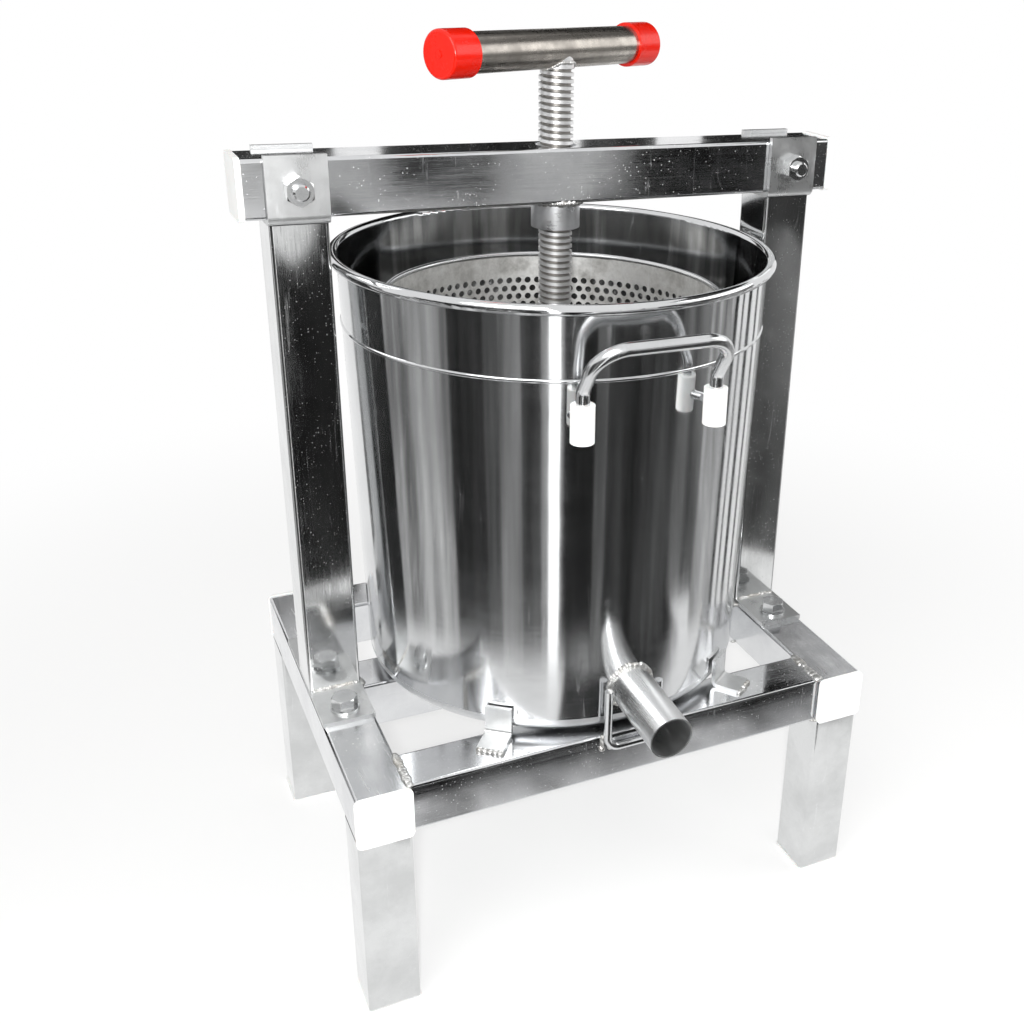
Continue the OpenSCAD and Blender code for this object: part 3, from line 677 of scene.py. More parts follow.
class Rule:
    """A Geometry Nodes tree with named inputs, ended in Realize Instances and Set Material."""

    def __init__(self, name: str, inputs: dict[str, float | int]) -> None:
        """Starts the tree.

        Args:
            name: The tree's name.
            inputs: Each input's name and default; an int makes a whole-number input.
        """
        self.tree = bpy.data.node_groups.new(name, "GeometryNodeTree")
        sockets = self.tree.interface
        sockets.new_socket("Geometry", in_out="INPUT", socket_type="NodeSocketGeometry")
        for label, value in inputs.items():
            kind = "NodeSocketInt" if isinstance(value, int) else "NodeSocketFloat"
            sockets.new_socket(label, in_out="INPUT", socket_type=kind).default_value = value
        sockets.new_socket("Material", in_out="INPUT", socket_type="NodeSocketMaterial")
        sockets.new_socket("Geometry", in_out="OUTPUT", socket_type="NodeSocketGeometry")
        self.inputs = add_node(self.tree, "NodeGroupInput").node.outputs

    def end(self, geometry: bpy.types.NodeSocket) -> None:
        """Ends the tree: instances made real, material set.

        Args:
            geometry: What the tree has made.
        """
        real = add_node(self.tree, "GeometryNodeRealizeInstances", {"Geometry": geometry})
        done = add_node(
            self.tree,
            "GeometryNodeSetMaterial",
            {"Geometry": real, "Material": self.inputs["Material"]},
        )
        add_node(self.tree, "NodeGroupOutput", {"Geometry": done})

    def make(
        self, base: bpy.types.Object, material: bpy.types.Material, values: dict[str, float | int]
    ) -> bpy.types.Object:
        """Runs the tree on an object and keeps the result as its plain mesh.

        Args:
            base: The object whose mesh the tree starts from.
            material: The material to set.
            values: Values of the named inputs.

        Returns:
            The same object, with the result as its mesh and no modifier.
        """
        modifier = base.modifiers.new(self.tree.name, "NODES")
        modifier.node_group = self.tree
        for item in self.tree.interface.items_tree:
            if item.in_out == "INPUT" and item.name in values:
                modifier[item.identifier] = values[item.name]
            elif item.in_out == "INPUT" and item.name == "Material":
                modifier[item.identifier] = material
        graph = bpy.context.evaluated_depsgraph_get()
        mesh = bpy.data.meshes.new_from_object(base.evaluated_get(graph))
        mesh.name = base.name
        base.modifiers.clear()
        base.data = mesh
        if material.name not in [m.name for m in mesh.materials if m]:
            mesh.materials.clear()
            mesh.materials.append(material)
        return base


def perforation_rule() -> Rule:
    """Sheet rolled round the screw's axis, with round holes on a triangular pitch.

    Each hole stands in a six-sided cell whose corners meet its neighbours', so the sheet closes.

    Returns:
        The rule. Columns holes round it and Rows up it; Low and High are the plain bands past
        the first and last rows' centres.
    """
    rule = Rule(
        "perforated sheet",
        {
            "Columns": 99, "Rows": 18, "Radius": 0.1635, "Wall": 0.0015, "Hole radius": 0.0035,
            "First row": 0.28, "Low": 0.01, "High": 0.01, "Axis Y": AXIS_Y,
        },
    )
    tree, size = rule.tree, rule.inputs
    add = partial(add_node, tree)
    whole_turn = 2 * math.pi
    pitch = add("ShaderNodeMath", {0: size["Radius"], 1: whole_turn}, operation="MULTIPLY")
    pitch = add("ShaderNodeMath", {0: pitch, 1: size["Columns"]}, operation="DIVIDE")
    step = add("ShaderNodeMath", {0: pitch, 1: math.sqrt(3) / 2}, operation="MULTIPLY")

    # One cell: a ring of 12 points round the hole, pulled out to the six-sided border
    circle = add(
        "GeometryNodeMeshCircle", {"Vertices": 12, "Radius": size["Hole radius"]}, fill_type="NONE"
    )
    ring = add("GeometryNodeExtrudeMesh", {"Mesh": circle, "Offset Scale": 0.0}, mode="EDGES")
    place = add("GeometryNodeInputPosition")
    split = add("ShaderNodeSeparateXYZ", {0: place})
    across = add("ShaderNodeMath", {0: split}, operation="ABSOLUTE")
    up = add("ShaderNodeMath", {0: split.node.outputs[1]}, operation="ABSOLUTE")
    half = add("ShaderNodeMath", {0: across, 1: 0.5}, operation="MULTIPLY")
    slant = add("ShaderNodeMath", {0: up, 1: math.sqrt(3) / 2, 2: half}, operation="MULTIPLY_ADD")
    reach = add("ShaderNodeMath", {0: across, 1: slant}, operation="MAXIMUM")
    half_pitch = add("ShaderNodeMath", {0: pitch, 1: 0.5}, operation="MULTIPLY")
    grow = add("ShaderNodeMath", {0: half_pitch, 1: reach}, operation="DIVIDE")
    border = add("ShaderNodeVectorMath", {0: place, "Scale": grow}, operation="SCALE")
    cell = add(
        "GeometryNodeSetPosition",
        {"Geometry": ring, "Selection": ring.node.outputs["Top"], "Position": border},
    )
    cell = add(
        "GeometryNodeStoreNamedAttribute",
        {"Geometry": cell, "Name": "border", "Value": ring.node.outputs["Top"]},
        data_type="BOOLEAN",
        domain="POINT",
    )

    # The cells' places, each row half a pitch on from the last
    index = add("GeometryNodeInputIndex")
    column = add("ShaderNodeMath", {0: index, 1: size["Columns"]}, operation="MODULO")
    row = add("ShaderNodeMath", {0: index, 1: size["Columns"]}, operation="DIVIDE")
    row = add("ShaderNodeMath", {0: row}, operation="FLOOR")
    odd = add("ShaderNodeMath", {0: row, 1: 2.0}, operation="MODULO")
    column = add("ShaderNodeMath", {0: odd, 1: 0.5, 2: column}, operation="MULTIPLY_ADD")
    x = add("ShaderNodeMath", {0: column, 1: pitch}, operation="MULTIPLY")
    y = add("ShaderNodeMath", {0: row, 1: step}, operation="MULTIPLY")
    count = add("ShaderNodeMath", {0: size["Columns"], 1: size["Rows"]}, operation="MULTIPLY")
    spots = add(
        "GeometryNodePoints",
        {"Count": count, "Position": add("ShaderNodeCombineXYZ", {0: x, 1: y})},
    )
    laid = add("GeometryNodeInstanceOnPoints", {"Points": spots, "Instance": cell})
    flat = add("GeometryNodeRealizeInstances", {"Geometry": laid})
    flat = add("GeometryNodeMergeByDistance", {"Geometry": flat, "Distance": MERGE})

    # Straight plain bands: border points past the first and last rows move out to the edge
    on_border = add("GeometryNodeInputNamedAttribute", {"Name": "border"}, data_type="BOOLEAN")
    here = add("ShaderNodeSeparateXYZ", {0: add("GeometryNodeInputPosition")})
    last = add("ShaderNodeMath", {0: size["Rows"], 1: 1.0}, operation="SUBTRACT")
    last = add("ShaderNodeMath", {0: last, 1: step}, operation="MULTIPLY")
    quarter = add("ShaderNodeMath", {0: pitch, 1: 0.25}, operation="MULTIPLY")
    below = add("ShaderNodeMath", {0: quarter, 1: -1.0}, operation="MULTIPLY")
    above = add("ShaderNodeMath", {0: last, 1: quarter}, operation="ADD")
    low_edge = add("ShaderNodeMath", {0: size["Low"], 1: -1.0}, operation="MULTIPLY")
    high_edge = add("ShaderNodeMath", {0: last, 1: size["High"]}, operation="ADD")
    for operation, limit, edge in (
        ("LESS_THAN", below, low_edge), ("GREATER_THAN", above, high_edge)
    ):
        past = add(
            "FunctionNodeCompare",
            {0: here.node.outputs[1], 1: limit},
            data_type="FLOAT",
            operation=operation,
        )
        chosen = add("FunctionNodeBooleanMath", {0: on_border, 1: past}, operation="AND")
        moved = add("ShaderNodeCombineXYZ", {0: here, 1: edge})
        flat = add(
            "GeometryNodeSetPosition", {"Geometry": flat, "Selection": chosen, "Position": moved}
        )

    # Rolled round the axis, seam closed, then given its wall
    angle = add("ShaderNodeMath", {0: here, 1: size["Radius"]}, operation="DIVIDE")
    east = add("ShaderNodeMath", {0: angle}, operation="COSINE")
    north = add("ShaderNodeMath", {0: angle}, operation="SINE")
    east = add("ShaderNodeMath", {0: east, 1: size["Radius"]}, operation="MULTIPLY")
    north = add(
        "ShaderNodeMath", {0: north, 1: size["Radius"], 2: size["Axis Y"]}, operation="MULTIPLY_ADD"
    )
    height = add("ShaderNodeMath", {0: here.node.outputs[1], 1: size["First row"]}, operation="ADD")
    rolled = add(
        "GeometryNodeSetPosition",
        {"Geometry": flat, "Position": add("ShaderNodeCombineXYZ", {0: east, 1: north, 2: height})},
    )
    rolled = add("GeometryNodeMergeByDistance", {"Geometry": rolled, "Distance": MERGE})
    # The cells face down on the flat, so inwards once rolled: the outer skin is their flip
    outward = add("GeometryNodeFlipFaces", {"Mesh": rolled})
    grown = add(
        "GeometryNodeExtrudeMesh",
        {"Mesh": outward, "Offset Scale": size["Wall"], "Individual": False},
        mode="FACES",
    )
    both = add("GeometryNodeJoinGeometry")
    tree.links.new(grown, both.node.inputs[0])
    tree.links.new(rolled, both.node.inputs[0])
    closed = add("GeometryNodeMergeByDistance", {"Geometry": both, "Distance": SKIN_MERGE})
    rule.end(closed)
    return rule


def thread_rule() -> Rule:
    """Right-hand screw thread wound on a plain core, which is the mesh that comes in.

    Returns:
        The rule. The ridge's section is a trapezoid; Sink is how deep its foot lies in the core.
    """
    rule = Rule(
        "screw thread",
        {
            "Root radius": 0.0128, "Depth": 0.0032, "Sink": 0.0006, "Pitch": 0.006, "Turns": 76.0,
            "Foot": 0.004, "Crest": 0.002, "Points a turn": 40, "Start": 0.38,
        },
    )
    tree, size = rule.tree, rule.inputs
    add = partial(add_node, tree)
    tall = add("ShaderNodeMath", {0: size["Pitch"], 1: size["Turns"]}, operation="MULTIPLY")
    high = add("ShaderNodeMath", {0: size["Depth"], 1: size["Sink"]}, operation="ADD")
    inner = add("ShaderNodeMath", {0: size["Root radius"], 1: size["Sink"]}, operation="SUBTRACT")
    middle = add("ShaderNodeMath", {0: high, 1: 0.5, 2: inner}, operation="MULTIPLY_ADD")
    helix = add(
        "GeometryNodeCurveSpiral",
        {
            "Resolution": size["Points a turn"],
            "Rotations": size["Turns"],
            "Start Radius": middle,
            "End Radius": middle,
            "Height": tall,
        },
    )
    helix = add("GeometryNodeSetCurveNormal", {"Curve": helix}, mode="Z_UP")
    section = add(
        "GeometryNodeCurvePrimitiveQuadrilateral",
        {"Height": high, "Bottom Width": size["Foot"], "Top Width": size["Crest"], "Offset": 0.0},
        mode="TRAPEZOID",
    )
    section = add(
        "GeometryNodeTransform", {"Geometry": section, "Rotation": (0.0, 0.0, math.radians(90))}
    )
    ridge = add(
        "GeometryNodeCurveToMesh", {"Curve": helix, "Profile Curve": section, "Fill Caps": True}
    )
    lift = add("ShaderNodeCombineXYZ", {1: AXIS_Y, 2: size["Start"]})
    ridge = add("GeometryNodeTransform", {"Geometry": ridge, "Translation": lift})
    both = add("GeometryNodeJoinGeometry")
    tree.links.new(ridge, both.node.inputs[0])
    tree.links.new(size["Geometry"], both.node.inputs[0])
    rule.end(both)
    return rule


def weld_rule() -> Rule:
    """Weld bead: overlapping frozen ripples along the lines of the mesh that comes in.

    Returns:
        The rule. Step is the spacing of the ripples, Width and Height the bead's size.
    """
    rule = Rule("weld bead", {"Step": 0.0022, "Width": 0.005, "Height": 0.003, "Seed": 1})
    tree, size = rule.tree, rule.inputs
    add = partial(add_node, tree)
    path = add("GeometryNodeMeshToCurve", {"Mesh": size["Geometry"]})
    path = add("GeometryNodeResampleCurve", {"Curve": path, "Length": size["Step"]}, mode="LENGTH")
    tangent = add("GeometryNodeInputTangent")
    along = add("FunctionNodeAlignRotationToVector", {"Vector": tangent}, axis="X")
    ripple = add("GeometryNodeMeshIcoSphere", {"Radius": 0.5, "Subdivisions": 2})
    ripple = add("GeometryNodeSetShadeSmooth", {"Geometry": ripple})
    long = add("ShaderNodeMath", {0: size["Step"], 1: 2.2}, operation="MULTIPLY")
    shape = add("ShaderNodeCombineXYZ", {0: long, 1: size["Width"], 2: size["Height"]})
    uneven = add(
        "FunctionNodeRandomValue",
        {0: (0.7, 0.7, 0.7), 1: (1.25, 1.3, 1.4), "Seed": size["Seed"]},
        data_type="FLOAT_VECTOR",
    )
    shape = add("ShaderNodeVectorMath", {0: shape, 1: uneven}, operation="MULTIPLY")
    laid = add(
        "GeometryNodeInstanceOnPoints",
        {"Points": path, "Instance": ripple, "Rotation": along, "Scale": shape},
    )
    rule.end(laid)
    return rule


# ---------------------------------------------------------------- sub-assemblies

@dataclass
class Welds:
    """The weld beads of one body, laid along lines.

    Attributes:
        name: The piece's name.
        body: The body it rides on.
        width: The bead's width in metres.
        height: The bead's height in metres.
        step: Spacing of its ripples.
        lines: Each bead's points in metres.
    """

    name: str
    body: str
    width: float = 0.005
    height: float = 0.003
    step: float = 0.0022
    lines: list[list[Point]] = field(default_factory=list)

    def line(self, *points: Point) -> None:
        """Adds a bead through these points."""
        self.lines.append(list(points))

    def ring(self, centre: Point, radius: float) -> None:
        """Adds a level ring of bead.

        Args:
            centre: The ring's middle.
            radius: Its radius.
        """
        x, y, z = centre
        turns = [math.radians(360 * i / RING_POINTS) for i in range(RING_POINTS + 1)]
        self.lines.append([(x + radius * math.cos(t), y + radius * math.sin(t), z) for t in turns])

    def build(self, rule: Rule, material: bpy.types.Material, seed: int) -> bpy.types.Object:
        """Makes the beads.

        Args:
            rule: The weld rule.
            material: The weld's finish.
            seed: Seed of its unevenness.

        Returns:
            The piece, riding on its body.
        """
        points: list[Point] = []
        edges: list[tuple[int, int]] = []
        for line in self.lines:
            first = len(points)
            points += line
            edges += [(first + i, first + i + 1) for i in range(len(line) - 1)]
        bead = mesh_object(self.name, points, [], edges)
        rule.make(
            bead,
            material,
            {"Step": self.step, "Width": self.width, "Height": self.height, "Seed": seed},
        )
        bead.data.shade_smooth()
        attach(bead, self.body)
        return bead


@dataclass
class Stand:
    """Square-tube stand with its posts, saddles and top beam. Sizes in metres."""

    side: float = 0.05
    side_x: float = 0.2425
    post_gap: float = 0.435
    rail_low: float = 0.2
    rail_top: float = 0.25
    post_z: float = 0.255
    front: float = -0.185
    rear: float = 0.207
    front_rail_y: float = -0.157
    middle_rail_y: float = 0.014
    rear_rail_y: float = 0.178
    beam_z: float = 0.72
    stop_angles: tuple[float, ...] = (-127.0, -53.0, 50.0, 130.0)
    stop_r: float = 0.2265
    stirrup_x: float = 0.026
    stirrup_r: float = 0.004
    nut_r: float = 0.0235

    def dress(self, finishes: Finishes) -> None:
        """Gives the stand's CAD nodes their finishes.

        Args:
            finishes: The press's finishes.
        """
        dress(finishes.get("tube_x"), "front_rail", "middle_rail", "rear_rail", "beam")
        dress(finishes.get("tube_y"), "left_rail", "right_rail")
        dress(
            finishes.get("tube_z"), "front_left_leg", "front_right_leg", "rear_left_leg",
            "rear_right_leg", "left_post", "right_post",
        )
        dress(
            finishes.get("plate"), "left_foot_plate", "right_foot_plate", "left_saddle",
            "right_saddle", "tank_stops",
        )
        dress(
            finishes.get("bolt"), "foot_bolts", "foot_washers", "foot_nuts", "beam_bolts",
            "beam_nuts",
        )
        dress(finishes.get("turned"), "screw_nut")
        dress(finishes.get("rod"), "spout_stirrup")
        dress(finishes.get("white"), "rail_caps", "foot_caps", "beam_caps")

    def welds(self, rule: Rule, material: bpy.types.Material) -> list[bpy.types.Object]:
        """Lays the stand's welds: rail joints, legs, posts, nut and stops.

        Args:
            rule: The weld rule.
            material: The weld's finish.

        Returns:
            The pieces.
        """
        half = self.side / 2
        # How far the beads stop short of a tube's corner
        short, edge = 0.003, 0.004
        gap = self.post_gap / 2
        frame_welds = Welds("frame_welds", "stand", width=0.0095, height=0.0045, step=0.0042)
        for sign in (-1, 1):
            x = sign * gap
            for y in (self.front_rail_y, self.middle_rail_y, self.rear_rail_y):
                frame_welds.line(
                    (x, y - half + short, self.rail_top), (x, y + half - short, self.rail_top)
                )
                frame_welds.line(
                    (x, y + half, self.rail_top - edge), (x, y + half, self.rail_low + edge)
                )
                frame_welds.line(
                    (x, y - half + short, self.rail_low), (x, y + half - short, self.rail_low)
                )
        legs = Welds("leg_welds", "stand", width=0.0045, height=0.0045, step=0.002)
        for sign in (-1, 1):
            for y in (self.front + half, self.rear - half):
                x = sign * self.side_x
                # Across the leg's two faces that run along the rail's underside
                inner = x - sign * half
                legs.line(
                    (inner, y - half + short, self.rail_low),
                    (inner, y + half - short, self.rail_low),
                )
                back = y + half if y < 0 else y - half
                legs.line(
                    (x - half + short, back, self.rail_low), (x + half - short, back, self.rail_low)
                )
        posts = Welds("post_welds", "stand", width=0.0045, height=0.0045, step=0.002)
        for sign in (-1, 1):
            x, y = sign * self.side_x, AXIS_Y
            for far in (-half, half):
                posts.line(
                    (x - half + edge, y + far, self.post_z), (x + half - edge, y + far, self.post_z)
                )
        nut = Welds("nut_weld", "stand", width=0.006, height=0.006)
        nut.ring((0.0, AXIS_Y, self.beam_z), self.nut_r)
        # Tacks at the outer ends of the stops' feet and where the stirrup meets the front rail
        tacks = Welds("tack_welds", "stand", width=0.007, height=0.005, step=0.004)
        half_tack, foot = 0.01, self.rail_top + 0.001
        for angle in self.stop_angles:
            turn = math.radians(angle)
            out, side = (math.cos(turn), math.sin(turn)), (-math.sin(turn), math.cos(turn))
            tacks.line(
                *(
                    (
                        out[0] * self.stop_r + side[0] * w,
                        AXIS_Y + out[1] * self.stop_r + side[1] * w,
                        foot,
                    )
                    for w in (-half_tack, half_tack)
                )
            )
        face = self.front_rail_y - half
        low, high = self.rail_top - 0.014, self.rail_top - 0.003
        for x in (-self.stirrup_x, self.stirrup_x):
            for side_x in (x - self.stirrup_r, x + self.stirrup_r):
                tacks.line((side_x, face, low), (side_x, face, high))
        return [
            frame_welds.build(rule, material, seed=3),
            legs.build(rule, material, seed=5),
            posts.build(rule, material, seed=7),
            nut.build(rule, material, seed=9),
            tacks.build(rule, material, seed=15),
        ]


@dataclass
class Tank:
    """Round tank with rolled rim, dished floor, spout and two handles. Sizes in metres."""

    low_z: float = 0.255
    rim_z: float = 0.671
    low_r: float = 0.194
    top_r: float = 0.204
    spout_r: float = 0.021
    spout_z: float = 0.298

    def radius(self, z: float) -> float:
        """Outer radius of the wall at a height."""
        return self.low_r + (self.top_r - self.low_r) * (z - self.low_z) / (self.rim_z - self.low_z)

    def dress(self, finishes: Finishes) -> None:
        """Gives the tank's CAD nodes their finishes.

        Args:
            finishes: The press's finishes.
        """
        dress(finishes.get("tank"), "tank_shell", "tank_rim")
        dress(finishes.get("pan"), "tank_floor")
        dress(finishes.get("rod"), "front_handle", "rear_handle", "handle_studs")
        dress(finishes.get("pipe"), "spout")
        dress(finishes.get("white"), "handle_sleeves")

    def welds(self, rule: Rule, material: bpy.types.Material) -> bpy.types.Object:
        """Lays the bumpy bead round the spout's root.

        Args:
            rule: The weld rule.
            material: The weld's finish.

        Returns:
            The piece.
        """
        bead = Welds("spout_weld", "stand", width=0.0055, height=0.0055, step=0.003)
        reach = self.spout_r * 1.05
        ring: list[Point] = []
        for i in range(RING_POINTS + 1):
            turn = 2 * math.pi * i / RING_POINTS
            x = reach * math.cos(turn)
            z = self.spout_z + reach * math.sin(turn)
            ring.append((x, AXIS_Y - math.sqrt(self.radius(z) ** 2 - x * x), z))
        bead.line(*ring)
        return bead.build(rule, material, seed=11)


@dataclass
class Basket:
    """Perforated basket. Sizes in metres."""

    radius: float = 0.165
    wall: float = 0.0015
    low_z: float = 0.2638
    high_z: float = 0.6283
    top_row: float = 0.6003
    columns: int = 99
    rows: int = 18
    hole_r: float = 0.0035

    def build(self, rule: Rule, finishes: Finishes) -> list[bpy.types.Object]:
        """Makes the perforated wall in two halves, lower and upper.

        Args:
            rule: The perforation rule.
            finishes: The press's finishes.

        Returns:
            The two pieces, which replace the CAD wall.
        """
        inner = self.radius - self.wall
        step = 2 * math.pi * inner / self.columns * math.sqrt(3) / 2
        first = self.top_row - (2 * self.rows - 1) * step
        second = first + self.rows * step
        pieces = []
        for name, row, low, high in (
            ("basket_wall_low", first, first - self.low_z, step / 2),
            ("basket_wall_high", second, step / 2, self.high_z - self.top_row),
        ):
            wall = mesh_object(name, [(0.0, 0.0, 0.0)], [])
            rule.make(
                wall,
                finishes.get("sieve"),
                {
                    "Columns": self.columns, "Rows": self.rows, "Radius": inner, "Wall": self.wall,
                    "Hole radius": self.hole_r, "First row": row, "Low": low, "High": high,
                },
            )
            smooth(wall, 40)
            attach(wall, "basket")
            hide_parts("basket_shell")
            pieces.append(wall)
        dress(finishes.get("sieve"), "basket_floor")
        dress(finishes.get("rod"), "basket_rim", "basket_feet")
        return pieces


@dataclass
class Press:
    """Press plate with its ribs, hub and pins. Sizes in metres."""

    top_z: float = 0.3398
    hub_r: float = 0.03

    def build(self, rule: Rule, finishes: Finishes) -> bpy.types.Object:
        """Dresses the plate and lays the hub's weld.

        Args:
            rule: The weld rule.
            finishes: The press's finishes.

        Returns:
            The weld.
        """
        dress(finishes.get("sieve"), "press_plate", "plate_ribs")
        dress(finishes.get("turned"), "plate_hub", "hub_pins")
        dress(finishes.get("bronze"), "thrust_washer")
        bead = Welds("hub_weld", "press", width=0.006, height=0.006)
        bead.ring((0.0, AXIS_Y, self.top_z), self.hub_r + 0.0005)
        return bead.build(rule, finishes.get("weld"), seed=13)


@dataclass
class Spindle:
    """Screw with its cross handle. Sizes in metres."""

    end_z: float = 0.3348
    journal_r: float = 0.011
    shoulder_z: float = 0.3788
    thread_z: float = 0.3808
    root_r: float = 0.0134
    crest_r: float = 0.016
    pitch: float = 0.006
    turns: int = 76
    bar_z: float = 0.854
    bar_r: float = 0.017
    bar_turn: float = 25.0
    ridge_foot: float = 0.0047
    ridge_crest: float = 0.0029

    def build(self, threads: Rule, welds: Rule, finishes: Finishes) -> list[bpy.types.Object]:
        """Makes the threaded screw and the handle's weld.

        Args:
            threads: The thread rule.
            welds: The weld rule.
            finishes: The press's finishes.

        Returns:
            The screw, which replaces the CAD one, and the weld.
        """
        end_of_thread = self.thread_z + self.turns * self.pitch
        inside_bar = self.bar_z - 0.005
        bevel, small_bevel = 0.001, 0.0005
        core = lathe(
            "threaded_screw",
            [
                (0.0, self.end_z),
                (self.journal_r - bevel, self.end_z),
                (self.journal_r, self.end_z + bevel),
                (self.journal_r, self.shoulder_z),
                (self.root_r - small_bevel, self.shoulder_z),
                (self.root_r, self.shoulder_z + small_bevel),
                (self.root_r, end_of_thread),
                (self.crest_r, end_of_thread + bevel),
                (self.crest_r, inside_bar),
                (0.0, inside_bar),
            ],
            64,
        )
        threads.make(
            core,
            finishes.get("thread"),
            {
                "Root radius": self.root_r,
                "Depth": self.crest_r - self.root_r,
                "Pitch": self.pitch,
                "Turns": float(self.turns) - 0.5,
                "Start": self.thread_z + 0.001,
                "Foot": self.ridge_foot,
                "Crest": self.ridge_crest,
            },
        )
        smooth(core, 32)
        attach(core, "spindle")
        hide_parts("screw")
        dress(finishes.get("bar"), "t_bar")
        dress(finishes.get("red"), "t_bar_caps")

        bead = Welds("handle_weld", "spindle", width=0.0035, height=0.0035, step=0.0024)
        ring: list[Point] = []
        turn = math.radians(self.bar_turn)
        corners, least_drop = 36, 0.011
        for i in range(corners + 1):
            angle = 2 * math.pi * i / corners
            along = self.crest_r * math.cos(angle)
            aside = self.crest_r * math.sin(angle)
            # The bead follows the bar's underside, and stays low at the screw's two sides
            drop = math.sqrt(max(0.0, self.bar_r ** 2 - aside * aside))
            z = self.bar_z - max(least_drop, drop)
            ring.append(
                (
                    along * math.cos(turn) - aside * math.sin(turn),
                    AXIS_Y + along * math.sin(turn) + aside * math.cos(turn),
                    z,
                )
            )
        bead.line(*ring)
        return [core, bead.build(welds, finishes.get("weld"), seed=17)]


# ---------------------------------------------------------------- studio

@dataclass(frozen=True)
class Card:
    """A curved card round the press, seen only as a reflection in its steel.

    Attributes:
        radius: Distance from the screw's axis, in metres.
        high: Height of its top edge above the floor.
        start: Azimuth of one end in degrees, 0 along +X and 90 along +Y.
        end: Azimuth of the other end.
        colour: The cloth's colour.
        glow: Strength of its own light, for a strip light.
        low: Height of its lower edge.
    """

    radius: float
    high: float
    start: float
    end: float
    colour: str
    glow: float = 0.0
    low: float = 0.0

    def build(self, number: int) -> bpy.types.Object:
        """Makes the card with a ragged top edge.

        Args:
            number: Number of the card, which also varies its edge.

        Returns:
            The card, not yet dressed.
        """
        count = max(3, int(abs(self.end - self.start) / 2))
        points: list[Point] = []
        for i in range(count + 1):
            angle = math.radians(self.start + (self.end - self.start) * i / count)
            x, y = self.radius * math.cos(angle), AXIS_Y + self.radius * math.sin(angle)
            # Two waves of unlike length make the top edge ragged
            ragged = 0.06 * math.sin(17.0 * angle + number) + 0.04 * math.sin(
                41.0 * angle + 2 * number
            )
            points += [(x, y, self.low), (x, y, self.high * (1 + ragged))]
        faces = [(2 * i, 2 * i + 2, 2 * i + 3, 2 * i + 1) for i in range(count)]
        return mesh_object(f"studio_card_{number}", points, faces)


